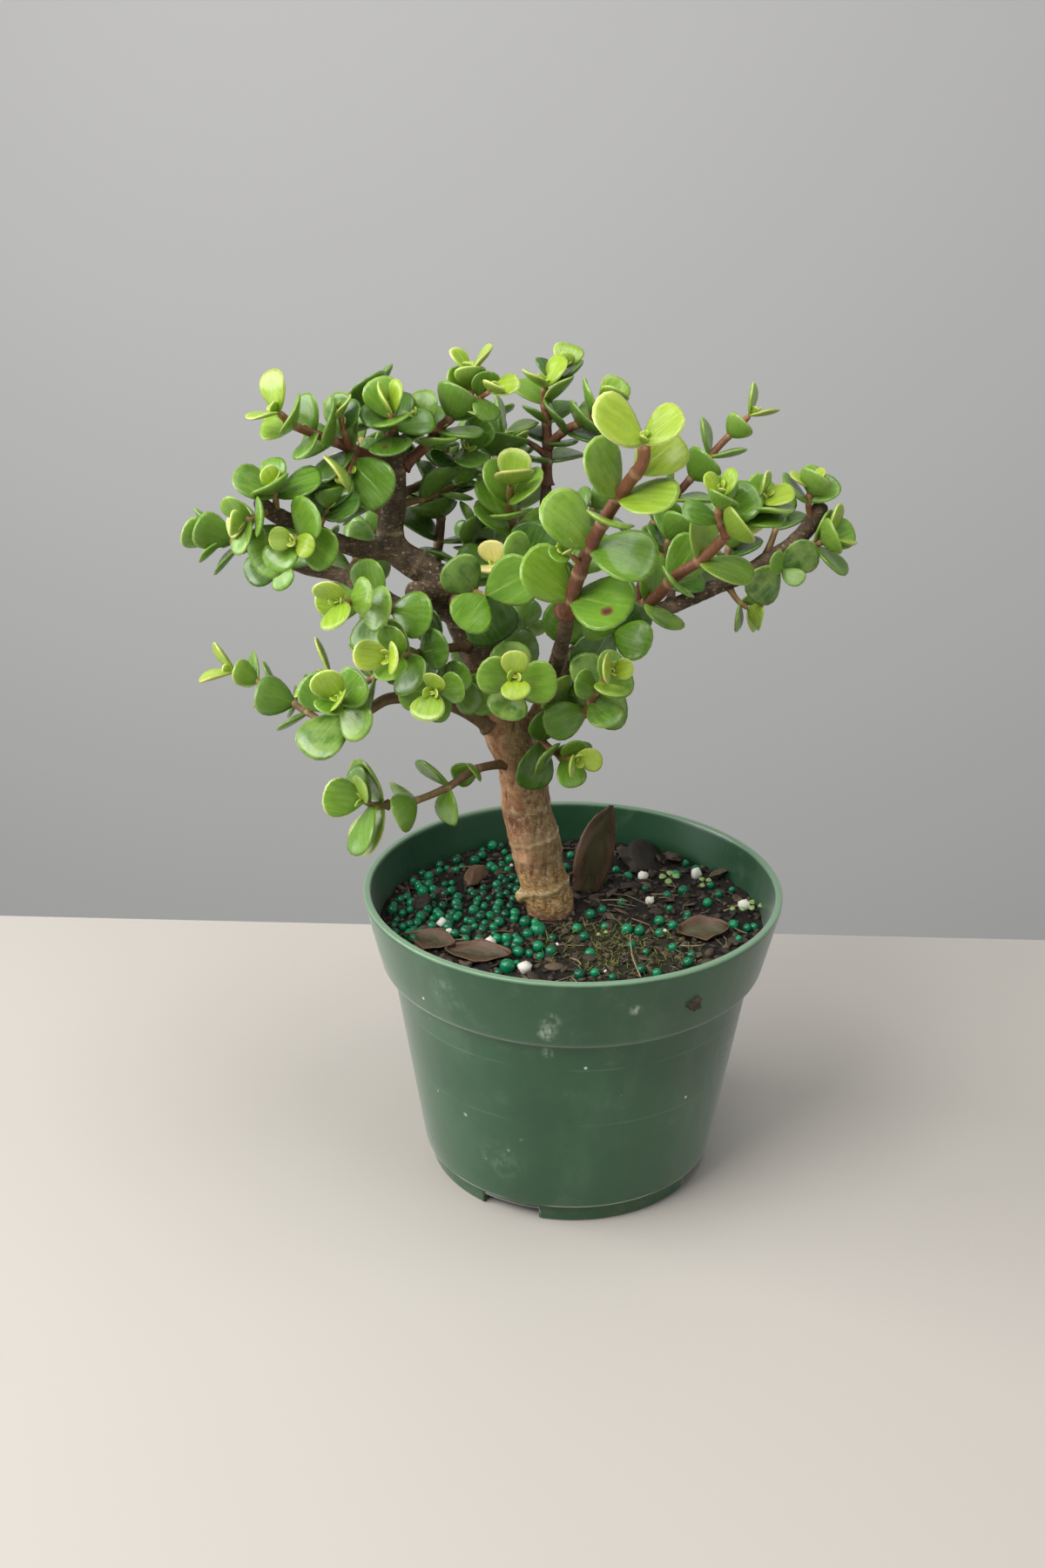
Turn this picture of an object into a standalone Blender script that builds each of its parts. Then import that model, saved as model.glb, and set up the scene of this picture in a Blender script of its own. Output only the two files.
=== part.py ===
# Dwarf jade bonsai in a round plastic nursery pot. Units are millimetres until metre() turns them into
# metres. The origin is the middle of the pot's underside, +Z is up, and the photo looks along +Y.
from math import cos, hypot, pi, radians, sin
from random import Random

import bpy
from mathutils import Matrix, Vector, noise
from mathutils.bvhtree import BVHTree

mm = 0.001
gap = 0.3  # clearance between pieces that touch
potSides = 36
potProfile = [  # radius and height, from the middle of the underside round to the middle of the floor
    (0, 0), (52.3, 0), (52.3, 7.5), (54.8, 7.5), (66.1, 82), (69.9, 82.2), (76, 109.2), (75.4, 110),
    (73.6, 110), (73.1, 109.2), (67.8, 84.5), (64, 80.5), (52.8, 9.5), (50.2, 7.5), (50, 2.2), (0, 2.2),
]
drain = {"count": 4, "first": -22.7, "width": 22, "height": 4.4, "inner": 44, "outer": 58}
soilProfile = [(0, 2.5), (49.7, 2.5), (49.9, 7.7), (52.4, 9.7), (63.6, 80.6), (67.4, 84.7), (69.8, 94.8)]
soilRings = [62, 52, 41, 30, 19]
soilLevel = 95.5
soilRelief = {"height": 1.4, "width": 13}
trunkFoot = (-8, 7)
hole = {"radius": 9.4, "floor": 63.6, "top": 120, "sides": 20}  # round the buried end of the trunk
prills = {
    "count": 36, "radius": (1.6, 2.3), "seed": 11, "left": 0.72, "leftOf": -12, "reach": 66,
    "spacing": 0.8, "offTrunk": 1, "sides": 5, "raised": 0.2,
}
biggestPrills = [  # x, y and radius, in front of the trunk and on the right
    (-12, -12, 3.1), (-22, -39, 2.9), (-7, -28, 2.2), (3, -44, 2.1), (32, -1, 2.1), (48, 42, 2.4),
]

trunkRoute = ("-8 7 64, -8 7 84, -8 7 96, -12.5 7 115, -14 6 124, -17 5 136, -19 3 154, -25 1 170, -29 -2 188, "
              "-38 -5 208, -42 -7 219, -51 -8 228, -62 -8 237, -62 -6 251, -62 -5 261, -61 -6 271")
trunkRadii = [8.6, 8.9, 8.8, 8.8, 9.2, 8.8, 8.6, 8.2, 7.6, 6.7, 6.2, 5.8, 5.2, 4.4, 4.6, 4.0]
wood = {"trunkSides": 10, "limbSides": 7, "step": 12}
limbs = [  # route, radius where it leaves the trunk, radius at its end
    ("-62 -8 236, -70 -12 236, -81 -18 241, -88 -22 246, -97 -27 251, -103 -30 257", 3.2, 2.6),
    ("-44 -5 214, -58 4 211, -73 14 215, -85 22 218, -96 25 219, -111 27 224, -119 28 226", 3.2, 2.2),
    ("-45 -7 219, -50 -16 223, -55 -23 225", 4.4, 3.6),
    ("-23 2 163, -13 5 174, -9 6 185, -2 7 194, 5 7 203, 12 6 210", 3.2, 2.7),
    ("8 6 206, 17 8 211, 29 10 211, 47 14 218, 57 16 222, 65 18 227, 73 19 232, 80 20 240, 83 20 247",
     2.6, 3.0),
    ("-37 -4 205, -28 4 211, -23 8 218, -23 10 228", 3.2, 2.4),
    ("-25 7 215, -19 20 223, -13 28 236, -12 31 250", 2.5, 2.1),
    ("-14 4 172, -7 -14 199, -4 -30 217, -4 -38 225", 2.7, 2.6),
]


def twig(route, stem, pairs, leaf, spread, start, roll=0, turn=90, bare=()):
    # Stem radii at its foot and tip, leaf lengths and leaf angles from the stem at the first and last pair.
    # bare: pairs that have lost the leaf towards the viewer.
    return {"route": route, "stem": stem, "pairs": pairs, "leaf": leaf, "open": spread, "start": start,
            "roll": roll, "turn": turn, "bare": bare}


sprays = {  # the first twig stands on the wood, and the others grow from it
    "endUpper": [
        twig("-97 -27 251, -97 -28 256, -97 -29 260",
             (1.3, 0.9), 3, (13, 8), (60, 30), 0.35),
    ],
    "endLower": [
        twig("-100 -29 254, -103 -32 252, -106 -34 251",
             (1.3, 0.9), 3, (12, 8), (75, 40), 0.35, 80),
    ],
    "leftUpright": [
        twig("-85 -20 244, -83 -23 249, -81 -24 253",
             (1.2, 0.9), 2, (12, 10), (45, 30), 0.5),
    ],
    "leftHanging": [
        twig("-89 -23 247, -89 -30 246, -90 -37 246",
             (1.4, 0.9), 3, (15, 8), (80, 50), 0.4),
    ],
    "backTip": [
        twig("-119 28 226, -124 29 228, -129 30 229",
             (1.8, 1.1), 4, (13, 12), (70, 30), 0.1),
    ],
    "backRound": [
        twig("-107 27 222, -105 20 222, -104 13 223",
             (1.3, 0.9), 2, (13, 9), (75, 50), 0.5, 30),
    ],
    "backDark": [
        twig("-94 25 218, -95 30 222, -98 33 227",
             (1.3, 0.9), 3, (12, 10), (65, 40), 0.3),
    ],
    "leftLong": [
        twig("-63 -5 264, -74 -10 269, -83 -15 274, -91 -19 278, -96 -22 283",
             (2.0, 1.2), 5, (15, 10), (70, 45), 0.25, 20),
        twig("-76 -11 269, -76 -15 275, -77 -17 281",
             (1.2, 0.9), 2, (10, 9), (50, 35), 0.6, 10),
        twig("-73 -10 268, -74 -16 266, -75 -20 263",
             (1.2, 0.9), 2, (14, 13), (65, 50), 0.5),
    ],
    "crownLeft": [
        twig("-62 -5 273, -67 4 277, -71 8 283",
             (1.4, 1.0), 3, (13, 12), (75, 65), 0.4),
    ],
    "crown": [
        twig("-62 -6 272, -61 -9 276, -61 -14 282",
             (2.0, 1.3), 4, (15, 9), (100, 30), 0.15, 110),
    ],
    "topTall": [
        twig("-60 -5 263, -51 0 269, -47 2 274, -40 3 280, -37 3 284, -37 3 292",
             (2.0, 1.1), 6, (14, 9), (65, 35), 0.2, 80),
        twig("-37 3 282, -33 0 285, -30 -2 287",
             (1.0, 0.8), 2, (9, 8), (55, 35), 0.5),
        twig("-48 1 273, -52 -4 275, -54 -6 279",
             (1.2, 0.9), 2, (12, 10), (60, 40), 0.5),
    ],
    "middleThin": [
        twig("-49 0 226, -49 10 228, -48 16 239, -48 20 255, -46 22 265",
             (1.9, 1.2), 5, (15, 13), (70, 45), 0.35),
        twig("-48 19 250, -37 24 256, -27 28 266",
             (1.3, 1.0), 3, (14, 12), (65, 45), 0.4, 30),
        twig("-47 21 259, -43 14 262, -39 8 266",
             (1.2, 0.9), 2, (13, 12), (65, 45), 0.5, 60),
    ],
    "centreTop": [
        twig("-12 31 251, -12 32 266, -13 33 277, -13 31 283",
             (2.0, 1.4), 5, (13, 11), (75, 50), 0.2, 45),
        twig("-12 33 275, -9 34 284, -7 34 289",
             (1.2, 0.9), 2, (11, 9), (55, 35), 0.6),
        twig("-11 32 263, -5 30 269, 1 28 272, 7 26 278",
             (1.7, 1.2), 4, (13, 10), (65, 40), 0.3, 20),
        twig("-12 32 259, -17 31 263, -20 30 265",
             (1.2, 0.9), 2, (13, 12), (60, 40), 0.5, 30),
    ],
    "centreCream": [
        twig("-23 10 228, -22 5 239, -24 0 249, -23 -4 257",
             (1.9, 1.3), 4, (14, 12), (60, 35), 0.3),
    ],
    "centreYellow": [
        twig("-24 8 220, -27 0 226, -28 -6 230",
             (1.3, 0.9), 2, (12, 10), (60, 40), 0.5),
    ],
    "front": [
        twig("-4 -38 225, -3 -42 228, 2 -50 246, 4 -52 251, 9 -57 262, 14 -61 271, 18 -64 278, 18 -66 284",
             (2.5, 1.9), 7, (17, 15), (72, 55), 0.1, 0, 90, (1, 3, 5)),
        twig("1 -48 243, -1 -52 245, -3 -54 247",
             (1.0, 0.8), 1, (6, 6), (45, 35), 1.0),
    ],
    "right": [
        twig("12 6 210, 19 -4 215, 26 -12 222, 32 -18 231, 40 -22 238, 47 -26 247",
             (2.3, 1.8), 4, (15, 14), (60, 50), 0.3),
        twig("47 -26 247, 44 -28 252, 44 -30 260",
             (1.6, 1.1), 3, (13, 8), (60, 35), 0.4),
        twig("47 -26 247, 51 -26 253, 56 -26 258",
             (1.5, 1.1), 3, (14, 10), (65, 40), 0.4, 20),
    ],
    "farEnd": [
        twig("80 20 239, 78 18 246, 78 17 253",
             (1.3, 0.9), 3, (11, 8), (55, 35), 0.35),
    ],
    "farSide": [
        twig("72 19 230, 80 16 233, 85 14 236",
             (1.8, 1.1), 3, (13, 10), (60, 40), 0.4),
    ],
    "farRound": [
        twig("67 18 227, 68 11 227, 69 5 227",
             (1.2, 0.9), 2, (13, 9), (85, 60), 0.6, 20),
    ],
    "farDrop": [
        twig("52 15 218, 55 13 214, 59 12 211",
             (1.1, 0.8), 2, (9, 8), (60, 45), 0.6),
    ],
    "farInner": [
        twig("52 15 220, 51 18 228, 53 20 234",
             (1.4, 1.0), 3, (12, 10), (65, 45), 0.4),
    ],
    "farUpper": [
        twig("65 18 227, 67 22 234, 69 26 239",
             (1.3, 0.9), 2, (12, 10), (60, 45), 0.6),
    ],
    "rightTall": [
        twig("19 8 211, 23 20 222, 24 25 233, 28 28 240, 40 32 254, 48 35 263, 58 38 273",
             (1.9, 1.1), 7, (14, 9), (65, 40), 0.25),
    ],
    "lowFace": [
        twig("-13 0 174, -6 -6 178, 2 -14 180, 6 -25 192, 11 -38 204",
             (1.8, 1.2), 5, (14, 9), (85, 45), 0.4, 45),
    ],
    "lowRight": [
        twig("-14 2 171, -12 -6 168, -5 -16 166, 0 -24 168",
             (1.5, 1.0), 4, (15, 9), (75, 45), 0.3, 30),
    ],
    "lowRound": [
        twig("-9 6 185, -5 -2 186, -3 -9 186",
             (1.2, 0.9), 2, (13, 12), (80, 60), 0.6, 40),
    ],
    "rightHanging": [
        twig("8 6 207, 11 -8 209, 12 -18 211",
             (1.5, 1.0), 2, (15, 12), (85, 60), 0.5, 60),
    ],
    "olive": [
        twig("-2 7 194, 0 -4 201, 1 -13 206",
             (1.4, 1.0), 2, (15, 13), (80, 60), 0.5, 60),
    ],
    "leftFace": [
        twig("-47 -8 215, -56 -14 216, -64 -24 220, -71 -36 225, -75 -47 229",
             (1.9, 1.2), 5, (16, 10), (88, 45), 0.35, 90),
    ],
    "lowerFace": [
        twig("-37 -8 203, -47 -18 204, -55 -30 206, -60 -44 210",
             (1.7, 1.1), 5, (14, 9), (85, 45), 0.3),
        twig("-58 -36 207, -67 -27 197, -77 -18 190, -84 -13 192",
             (1.3, 0.9), 3, (13, 11), (65, 45), 0.4),
    ],
    "centreFace": [
        twig("-33 -8 193, -40 -18 194, -44 -30 195, -46 -43 198",
             (1.7, 1.1), 4, (14, 9), (85, 45), 0.35),
    ],
    "middleFace": [
        twig("-27 -8 184, -23 -16 189, -21 -28 195, -20 -42 203",
             (1.6, 1.1), 4, (14, 10), (80, 55), 0.35),
    ],
    "trunkRound": [
        twig("-42 -12 219, -36 -18 224, -30 -28 226",
             (1.5, 1.0), 2, (15, 14), (85, 65), 0.6, 70),
    ],
    "lowLeft": [
        twig("-33 -6 172, -41 -10 181, -51 -14 185, -63 -20 187, -70 -24 184, -77 -28 180, -86 -30 177",
             (2.8, 1.5), 2, (9, 7), (40, 30), 0.8),
        twig("-77 -28 181, -77 -36 189, -77 -43 195",
             (1.5, 1.1), 4, (14, 9), (85, 45), 0.4, 45),
        twig("-82 -29 178, -90 -12 177, -96 -4 177, -104 4 179, -109 6 180, -114 8 183, -121 8 186",
             (1.4, 1.0), 5, (12, 10), (55, 45), 0.4),
    ],
    "lowest": [
        twig("-26 -6 157, -35 -11 158, -44 -15 153, -56 -19 149, -66 -23 149",
             (1.6, 1.1), 4, (9, 15), (60, 65), 0.2, 80),
        twig("-64 -22 149, -69 -25 150, -72 -27 152",
             (1.3, 0.9), 2, (15, 11), (80, 40), 0.7, 40),
    ],
    "backUpper": [
        twig("-62 2 254, -69 25 253, -78 48 259, -83 60 266",
             (1.7, 1.1), 5, (13, 10), (65, 45), 0.25),
    ],
    "backCrown": [
        twig("-50 22 250, -46 48 250, -39 66 257, -35 74 264",
             (1.6, 1.1), 5, (13, 10), (65, 45), 0.3),
    ],
    "backMiddle": [
        twig("-43 2 215, -42 36 218, -35 66 221, -27 86 225",
             (1.9, 1.1), 5, (14, 11), (65, 45), 0.3),
    ],
    "backCentre": [
        twig("-22 14 218, -15 48 218, -4 74 222, 5 88 227",
             (1.8, 1.1), 6, (14, 11), (65, 45), 0.3),
    ],
    "backRight": [
        twig("32 16 210, 35 48 216, 44 70 223, 51 80 228",
             (1.7, 1.1), 5, (13, 10), (65, 45), 0.3),
    ],
    "backLow": [
        twig("-29 6 185, -29 40 186, -24 62 186, -20 76 185",
             (1.7, 1.1), 5, (13, 10), (70, 45), 0.35),
    ],
    "backLeft": [
        twig("-82 24 215, -83 52 214, -79 76 219, -76 84 223",
             (1.7, 1.1), 5, (13, 10), (65, 45), 0.3),
    ],
    "backTop": [
        twig("-16 26 231, -26 52 240, -32 64 253, -35 68 262",
             (1.6, 1.1), 5, (13, 10), (65, 45), 0.35),
    ],
    "innerFront": [
        twig("-23 9 225, -19 -8 230, -16 -20 235",
             (1.4, 1.0), 2, (14, 12), (80, 60), 0.5, 60),
    ],
    "innerUpper": [
        twig("-60 -4 250, -54 2 250, -48 7 251, -43 11 253",
             (1.4, 0.9), 3, (14, 12), (70, 50), 0.35, 50),
    ],
    "innerCentre": [
        twig("-38 -3 219, -38 3 226, -38 7 232, -36 9 239",
             (1.4, 0.9), 3, (14, 13), (75, 55), 0.35, 20),
    ],
    "innerLeft": [
        twig("-63 -6 247, -70 -1 248, -77 2 251",
             (1.3, 0.9), 3, (13, 11), (70, 50), 0.35, 30),
    ],
    "innerRight": [
        twig("22 8 211, 26 7 222, 28 6 230, 30 6 237",
             (1.5, 1.0), 4, (14, 11), (70, 50), 0.35, 20),
    ],
}
litter = {  # outlines and thickness of the dry leaves and the bark chip that lie or stand on the soil
    "dry_leaf_standing": ("2 24 96, 11 23 96, 14 23 110, 15 23 122, 14 23 131, 7 24 126, 5 24 118", 0.9),
    "dry_leaf_left": ("-56 -20 96, -50 -28 96, -44 -32 97, -42 -27 99, -47 -20 99", 0.9),
    "dry_leaf_front": ("-43 -30 96, -38 -38 96, -30 -38 97, -22 -34 97, -28 -29 99, -36 -27 99", 0.9),
    "dry_leaf_right": ("38 -12 96, 46 -19 96, 50 -13 98, 56 -9 96, 49 -5 99, 43 -6 98", 0.9),
    "bark_chip": ("-46 30 96, -38 26 96, -28 29 96, -30 33 97, -40 34 97", 1.6),
}
litterClear = [(-50, -26, 9), (-33, -33, 12), (47, -11, 10), (-37, 30, 10), (8, 23, 8)]  # x, y, radius

leafShape = {  # shares of the leaf's length and width
    "outline": [(0, 0), (0.5, 0.46), (0.97, 0.3), (0.97, -0.3), (0.5, -0.46)],
    "middle": 0.58, "thick": 2.2, "cup": 0.1,
}
growth = {
    # Which way the leaves face, and how much of that they follow.
    "crownMiddle": Vector((-20, 5, 215)), "outwards": 0.7, "upwards": 0.3, "forwards": 0.4,
    "turnToLight": 0.55, "view": Vector((0, -0.92, 0.39)), "leastSide": 0.35,
    "size": 1.2, "width": (0.82, 1.02), "length": (0.8, 1.14), "rollJitter": 18, "openJitter": 12,
    "rootInStem": 0.35, "bladeStart": 0.34, "lastPair": 0.4, "lowest": 99, "clear": 0.35,
    "stemStep": 12, "stemSides": 5, "stemInWood": 0.8, "stemClear": 0.15, "slide": 0.2,
}
tries = [  # more roll, more opening and size, for a leaf that would meet another
    (0, 0, 1), (14, 0, 1), (-14, 0, 1), (0, -14, 0.95), (0, 14, 0.95), (28, 0, 0.95), (-28, 0, 0.95),
    (0, -24, 0.85), (20, -16, 0.8), (-20, -16, 0.8), (40, 0, 0.8), (-40, 0, 0.8), (0, -10, 0.68),
    (28, -20, 0.66), (-28, -20, 0.66), (0, -30, 0.55), (50, -20, 0.55), (-50, -20, 0.55),
]

paints = {  # colour, roughness
    "pot": ((0.055, 0.14, 0.065), 0.45),
    "soil": ((0.035, 0.026, 0.018), 0.95),
    "wood": ((0.21, 0.14, 0.085), 0.85),
    "foliage": ((0.14, 0.3, 0.055), 0.35),
    "dryLeaf": ((0.17, 0.075, 0.04), 0.7),
}


def clearScene():
    for old in list(bpy.data.objects):
        bpy.data.objects.remove(old, do_unlink=True)


def paint(name):
    colour, roughness = paints[name]
    material = bpy.data.materials.get(name) or bpy.data.materials.new(name)
    material.use_nodes = True
    shader = material.node_tree.nodes["Principled BSDF"]
    shader.inputs["Base Color"].default_value = (*colour, 1)
    shader.inputs["Roughness"].default_value = roughness
    material.diffuse_color = (*colour, 1)
    return material


def metre(points):
    return [Vector(point) * mm for point in points]


def solid(name, shape, paintName):
    points, faces = shape
    mesh = bpy.data.meshes.new(name)
    mesh.from_pydata(metre(points), [], faces)
    mesh.materials.append(paint(paintName))
    made = bpy.data.objects.new(name, mesh)
    bpy.context.scene.collection.objects.link(made)
    return made


def boolean(target, operation, others):
    # The others go into a collection of their own, and are removed once the result is stored.
    group = bpy.data.collections.new(target.name + "_others")
    bpy.context.scene.collection.children.link(group)
    for other in others:
        bpy.context.scene.collection.objects.unlink(other)
        group.objects.link(other)
    modifier = target.modifiers.new(operation, "BOOLEAN")
    modifier.operation = operation
    modifier.operand_type = "COLLECTION"
    modifier.collection = group
    modifier.solver = "MANIFOLD"
    graph = bpy.context.evaluated_depsgraph_get()
    result = bpy.data.meshes.new_from_object(target.evaluated_get(graph))
    target.modifiers.remove(modifier)
    target.data = result
    for other in others:
        bpy.data.objects.remove(other, do_unlink=True)
    bpy.data.collections.remove(group)
    return target


def band(here, sides):
    # The quads between one ring of points and the next.
    return [(here + k, here + (k + 1) % sides, here + sides + (k + 1) % sides, here + sides + k)
            for k in range(sides)]


def circle(sides):
    return [(cos(2 * pi * k / sides), sin(2 * pi * k / sides)) for k in range(sides)]


def revolved(profile, sides):
    # The profile runs from the axis to the axis, and its order puts the faces outwards.
    points = [(0, 0, profile[0][1])]
    for radius, height in profile[1:-1]:
        points += [(radius * x, radius * y, height) for x, y in circle(sides)]
    points.append((0, 0, profile[-1][1]))
    last = len(points) - 1
    faces = [(0, 1 + (k + 1) % sides, 1 + k) for k in range(sides)]
    for ring in range(len(profile) - 3):
        faces += band(1 + ring * sides, sides)
    top = last - sides
    faces += [(top + k, top + (k + 1) % sides, last) for k in range(sides)]
    return points, faces


def box(low, high, turn):
    corners = [Vector((x, y, z)) for z in (low[2], high[2])
               for y in (low[1], high[1]) for x in (low[0], high[0])]
    faces = [(0, 2, 3, 1), (4, 5, 7, 6), (0, 1, 5, 4), (2, 6, 7, 3), (0, 4, 6, 2), (1, 3, 7, 5)]
    return [Matrix.Rotation(turn, 3, "Z") @ corner for corner in corners], faces


def ball(centre, radius, sides):
    # Two cones back to back, as only a rounded top shows above the soil.
    points = [(0, 0, 1)] + [(x, y, 0) for x, y in circle(sides)] + [(0, 0, -1)]
    faces = [(0, 1 + k, 1 + (k + 1) % sides) for k in range(sides)]
    faces += [(sides + 1, 1 + (k + 1) % sides, 1 + k) for k in range(sides)]
    return [Vector(point) * radius + Vector(centre) for point in points], faces


def vectors(text):
    return [Vector([float(word) for word in point.split()]) for point in text.split(",")]


class Path:
    # A smooth curve through the given points, measured along its length.
    def __init__(self, points, perSegment=10):
        tangents = []
        for k in range(len(points)):
            before, after = points[max(k - 1, 0)], points[min(k + 1, len(points) - 1)]
            tangents.append((after - before).normalized())
        self.samples = [points[0]]
        for k in range(len(points) - 1):
            a, b = points[k], points[k + 1]
            reach = (b - a).length
            for step in range(1, perSegment + 1):
                t = step / perSegment
                along = tangents[k] * (t**3 - 2 * t**2 + t) + tangents[k + 1] * (t**3 - t**2)
                self.samples.append(a.lerp(b, 3 * t**2 - 2 * t**3) + along * reach)
        self.lengths = [0]
        for a, b in zip(self.samples, self.samples[1:]):
            self.lengths.append(self.lengths[-1] + (b - a).length)
        self.length = self.lengths[-1]

    def at(self, distance):
        distance = min(max(distance, 0), self.length)
        k = 1
        while k < len(self.lengths) - 1 and self.lengths[k] < distance:
            k += 1
        share = (distance - self.lengths[k - 1]) / max(self.lengths[k] - self.lengths[k - 1], 1e-6)
        return self.samples[k - 1].lerp(self.samples[k], share)

    def nearest(self, point):
        return min(self.samples, key=lambda sample: (sample - point).length)

    def heading(self, distance):
        return (self.at(distance + 0.6) - self.at(distance - 0.6)).normalized()


def tube(path, start, radii, sides, step, grow=0):
    # Rings along the path from start to its end, with radii spread evenly along the whole path.
    count = max(2, round((path.length - start) / step))
    across = None
    points, faces = [], []
    for ring in range(count + 1):
        distance = start + (path.length - start) * ring / count
        along = path.heading(distance)
        if across is None:
            across = along.orthogonal().normalized()
        across = (across - along * across.dot(along)).normalized()
        place = distance / path.length * (len(radii) - 1)
        low = min(int(place), len(radii) - 2)
        radius = radii[low] + (radii[low + 1] - radii[low]) * (place - low) + grow
        for k in range(sides):
            turned = Matrix.Rotation(2 * pi * k / sides, 3, along) @ across
            points.append(path.at(distance) + turned * radius)
    faces.append(tuple(reversed(range(sides))))
    for ring in range(count):
        faces += band(ring * sides, sides)
    faces.append(tuple(range(count * sides, (count + 1) * sides)))
    return points, faces


def leafMesh(leaf, grow=0, start=0):
    # A lens: one outline ring, a point in the middle of each side, start cuts off the share near the stem.
    across = leaf["along"].cross(leaf["normal"])
    length, width = leaf["length"] + grow, leaf["width"] + 2 * grow
    half = leafShape["thick"] / 2 + grow

    def place(t, s, lift):
        return leaf["root"] + leaf["along"] * t * length + across * s * width + leaf["normal"] * lift

    points = [place(max(t, start), s, leafShape["cup"] * width * (2 * s) ** 2)
              for t, s in leafShape["outline"]]
    points += [place(leafShape["middle"], 0, half), place(leafShape["middle"], 0, -half)]
    count = len(leafShape["outline"])
    faces = [(count, k, (k + 1) % count) for k in range(count)]
    faces += [(count + 1, (k + 1) % count, k) for k in range(count)]
    return points, faces


def treeOf(shape):
    return BVHTree.FromPolygons(shape[0], shape[1])


def middleAndReach(points):
    middle = sum(points, Vector()) / len(points)
    return middle, max((point - middle).length for point in points)


class Room:
    # What already stands in the crown, so that no leaf or stem grows through another spray.
    def __init__(self):
        self.taken = []

    def add(self, owner, whole, blade):
        middle, reach = middleAndReach(whole[0])
        self.taken.append((owner, middle, reach, treeOf(whole), treeOf(blade)))

    def blocked(self, owner, whole, blade=None):
        middle, reach = middleAndReach(whole[0])
        wholeTree = treeOf(whole)
        bladeTree = treeOf(blade) if blade else None
        for other, otherMiddle, otherReach, otherWhole, otherBlade in self.taken:
            if (otherMiddle - middle).length > otherReach + reach:
                continue
            if other != owner:
                if wholeTree.overlap(otherWhole):
                    return True
            elif bladeTree and bladeTree.overlap(otherBlade):
                return True
        return False

    def nearestWood(self, point):
        found = [other[3].find_nearest(point) for other in self.taken if other[0] == "trunk"]
        return min(found, key=lambda hit: hit[3])


def stemTube(path, start, radii, grow=0):
    return tube(path, start, radii, growth["stemSides"], growth["stemStep"], grow)


def seated(points, radii, room):
    # The stem starts on the nearest limb: it slides outwards until it only just clears the wood.
    location, normal, _, _ = room.nearestWood(points[0])
    path = Path([location - normal * growth["stemInWood"]] + points[1:])
    start = 0
    while room.blocked("stem", stemTube(path, start, radii, growth["stemClear"])):
        start += growth["slide"]
    return path, start


def between(pair, share):
    return pair[0] + (pair[1] - pair[0]) * share


def leafAt(path, distance, radius, roll, opening, length, width):
    along = path.heading(distance)
    side = along.cross(growth["view"])
    if side.length < growth["leastSide"]:
        side = Vector((1, 0, 0)) - along * along.x
    radial = Matrix.Rotation(radians(roll), 3, along) @ side.normalized()
    blade = (along * cos(radians(opening)) + radial * sin(radians(opening))).normalized()
    face = (along - blade * along.dot(blade)).normalized()
    outwards = (path.at(distance) - growth["crownMiddle"]).normalized()
    light = outwards * growth["outwards"] + Vector((0, -growth["forwards"], growth["upwards"]))
    light -= blade * light.dot(blade)
    normal = face.lerp(light, growth["turnToLight"]).normalized()
    sunk = radius * growth["rootInStem"]
    root = path.at(distance) - radial * sunk
    return {"root": root, "along": blade, "normal": normal, "length": length + sunk, "width": width}


def growStems(name, twigs, room):
    # Gives each twig's stem as a closed shape, its path and where on the path it starts.
    stems = []
    for number, twig in enumerate(twigs):
        points = vectors(twig["route"])
        if number == 0:
            path, start = seated(points, twig["stem"], room)
        else:
            points[0] = stems[0][1].nearest(points[0])
            path, start = Path(points), 0
        shape = stemTube(path, start, twig["stem"])
        stems.append((shape, path, start))
    for shape, _, _ in stems:
        room.add(name, shape, shape)
    return stems


def growLeaves(name, twigs, stems, room):
    # Pairs stand crosswise up each twig. A leaf that would meet another is turned, raised or made smaller.
    leaves = []
    for number, (twig, (_, path, start)) in enumerate(zip(twigs, stems)):
        first = start + (path.length - start) * twig["start"]
        for pair, half in [(pair, half) for pair in range(twig["pairs"]) for half in (0, 1)]:
            if pair in twig["bare"] and half == 1:
                continue
            draw = Random(f"{name} {number} {pair} {half}")
            share = pair / max(twig["pairs"] - 1, 1)
            distance = first + (path.length - growth["lastPair"] - first) * share
            radius = between(twig["stem"], distance / path.length)
            roll = twig["roll"] + twig["turn"] * pair + 180 * half
            roll += draw.uniform(-1, 1) * growth["rollJitter"]
            opening = between(twig["open"], share) + draw.uniform(-1, 1) * growth["openJitter"]
            length = growth["size"] * between(twig["leaf"], share) * draw.uniform(*growth["length"])
            width = length * draw.uniform(*growth["width"])
            for moreRoll, moreOpening, scale in tries:
                leaf = leafAt(path, distance, radius, roll + moreRoll, opening + moreOpening,
                              length * scale, width * scale)
                whole = leafMesh(leaf, growth["clear"])
                if min(point.z for point in whole[0]) < growth["lowest"]:
                    continue
                if not room.blocked(name, whole, leafMesh(leaf, 0, growth["bladeStart"])):
                    room.add(name, leafMesh(leaf), leafMesh(leaf, 0, growth["bladeStart"]))
                    leaves.append(leaf)
                    break
    return leaves


def makePot():
    pot = solid("pot", revolved(potProfile, potSides), "pot")
    cutters = []
    for k in range(drain["count"]):
        turn = radians(drain["first"] - 90 + 360 / drain["count"] * k)
        half = drain["width"] / 2
        shape = box((drain["inner"], -half, -1), (drain["outer"], half, drain["height"]), turn)
        cutters.append(solid(f"drain{k}", shape, "pot"))
    return boolean(pot, "DIFFERENCE", cutters)


def soilHeight(x, y):
    width = soilRelief["width"]
    return soilLevel + soilRelief["height"] * noise.noise(Vector((x / width, y / width, 4)))


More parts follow.
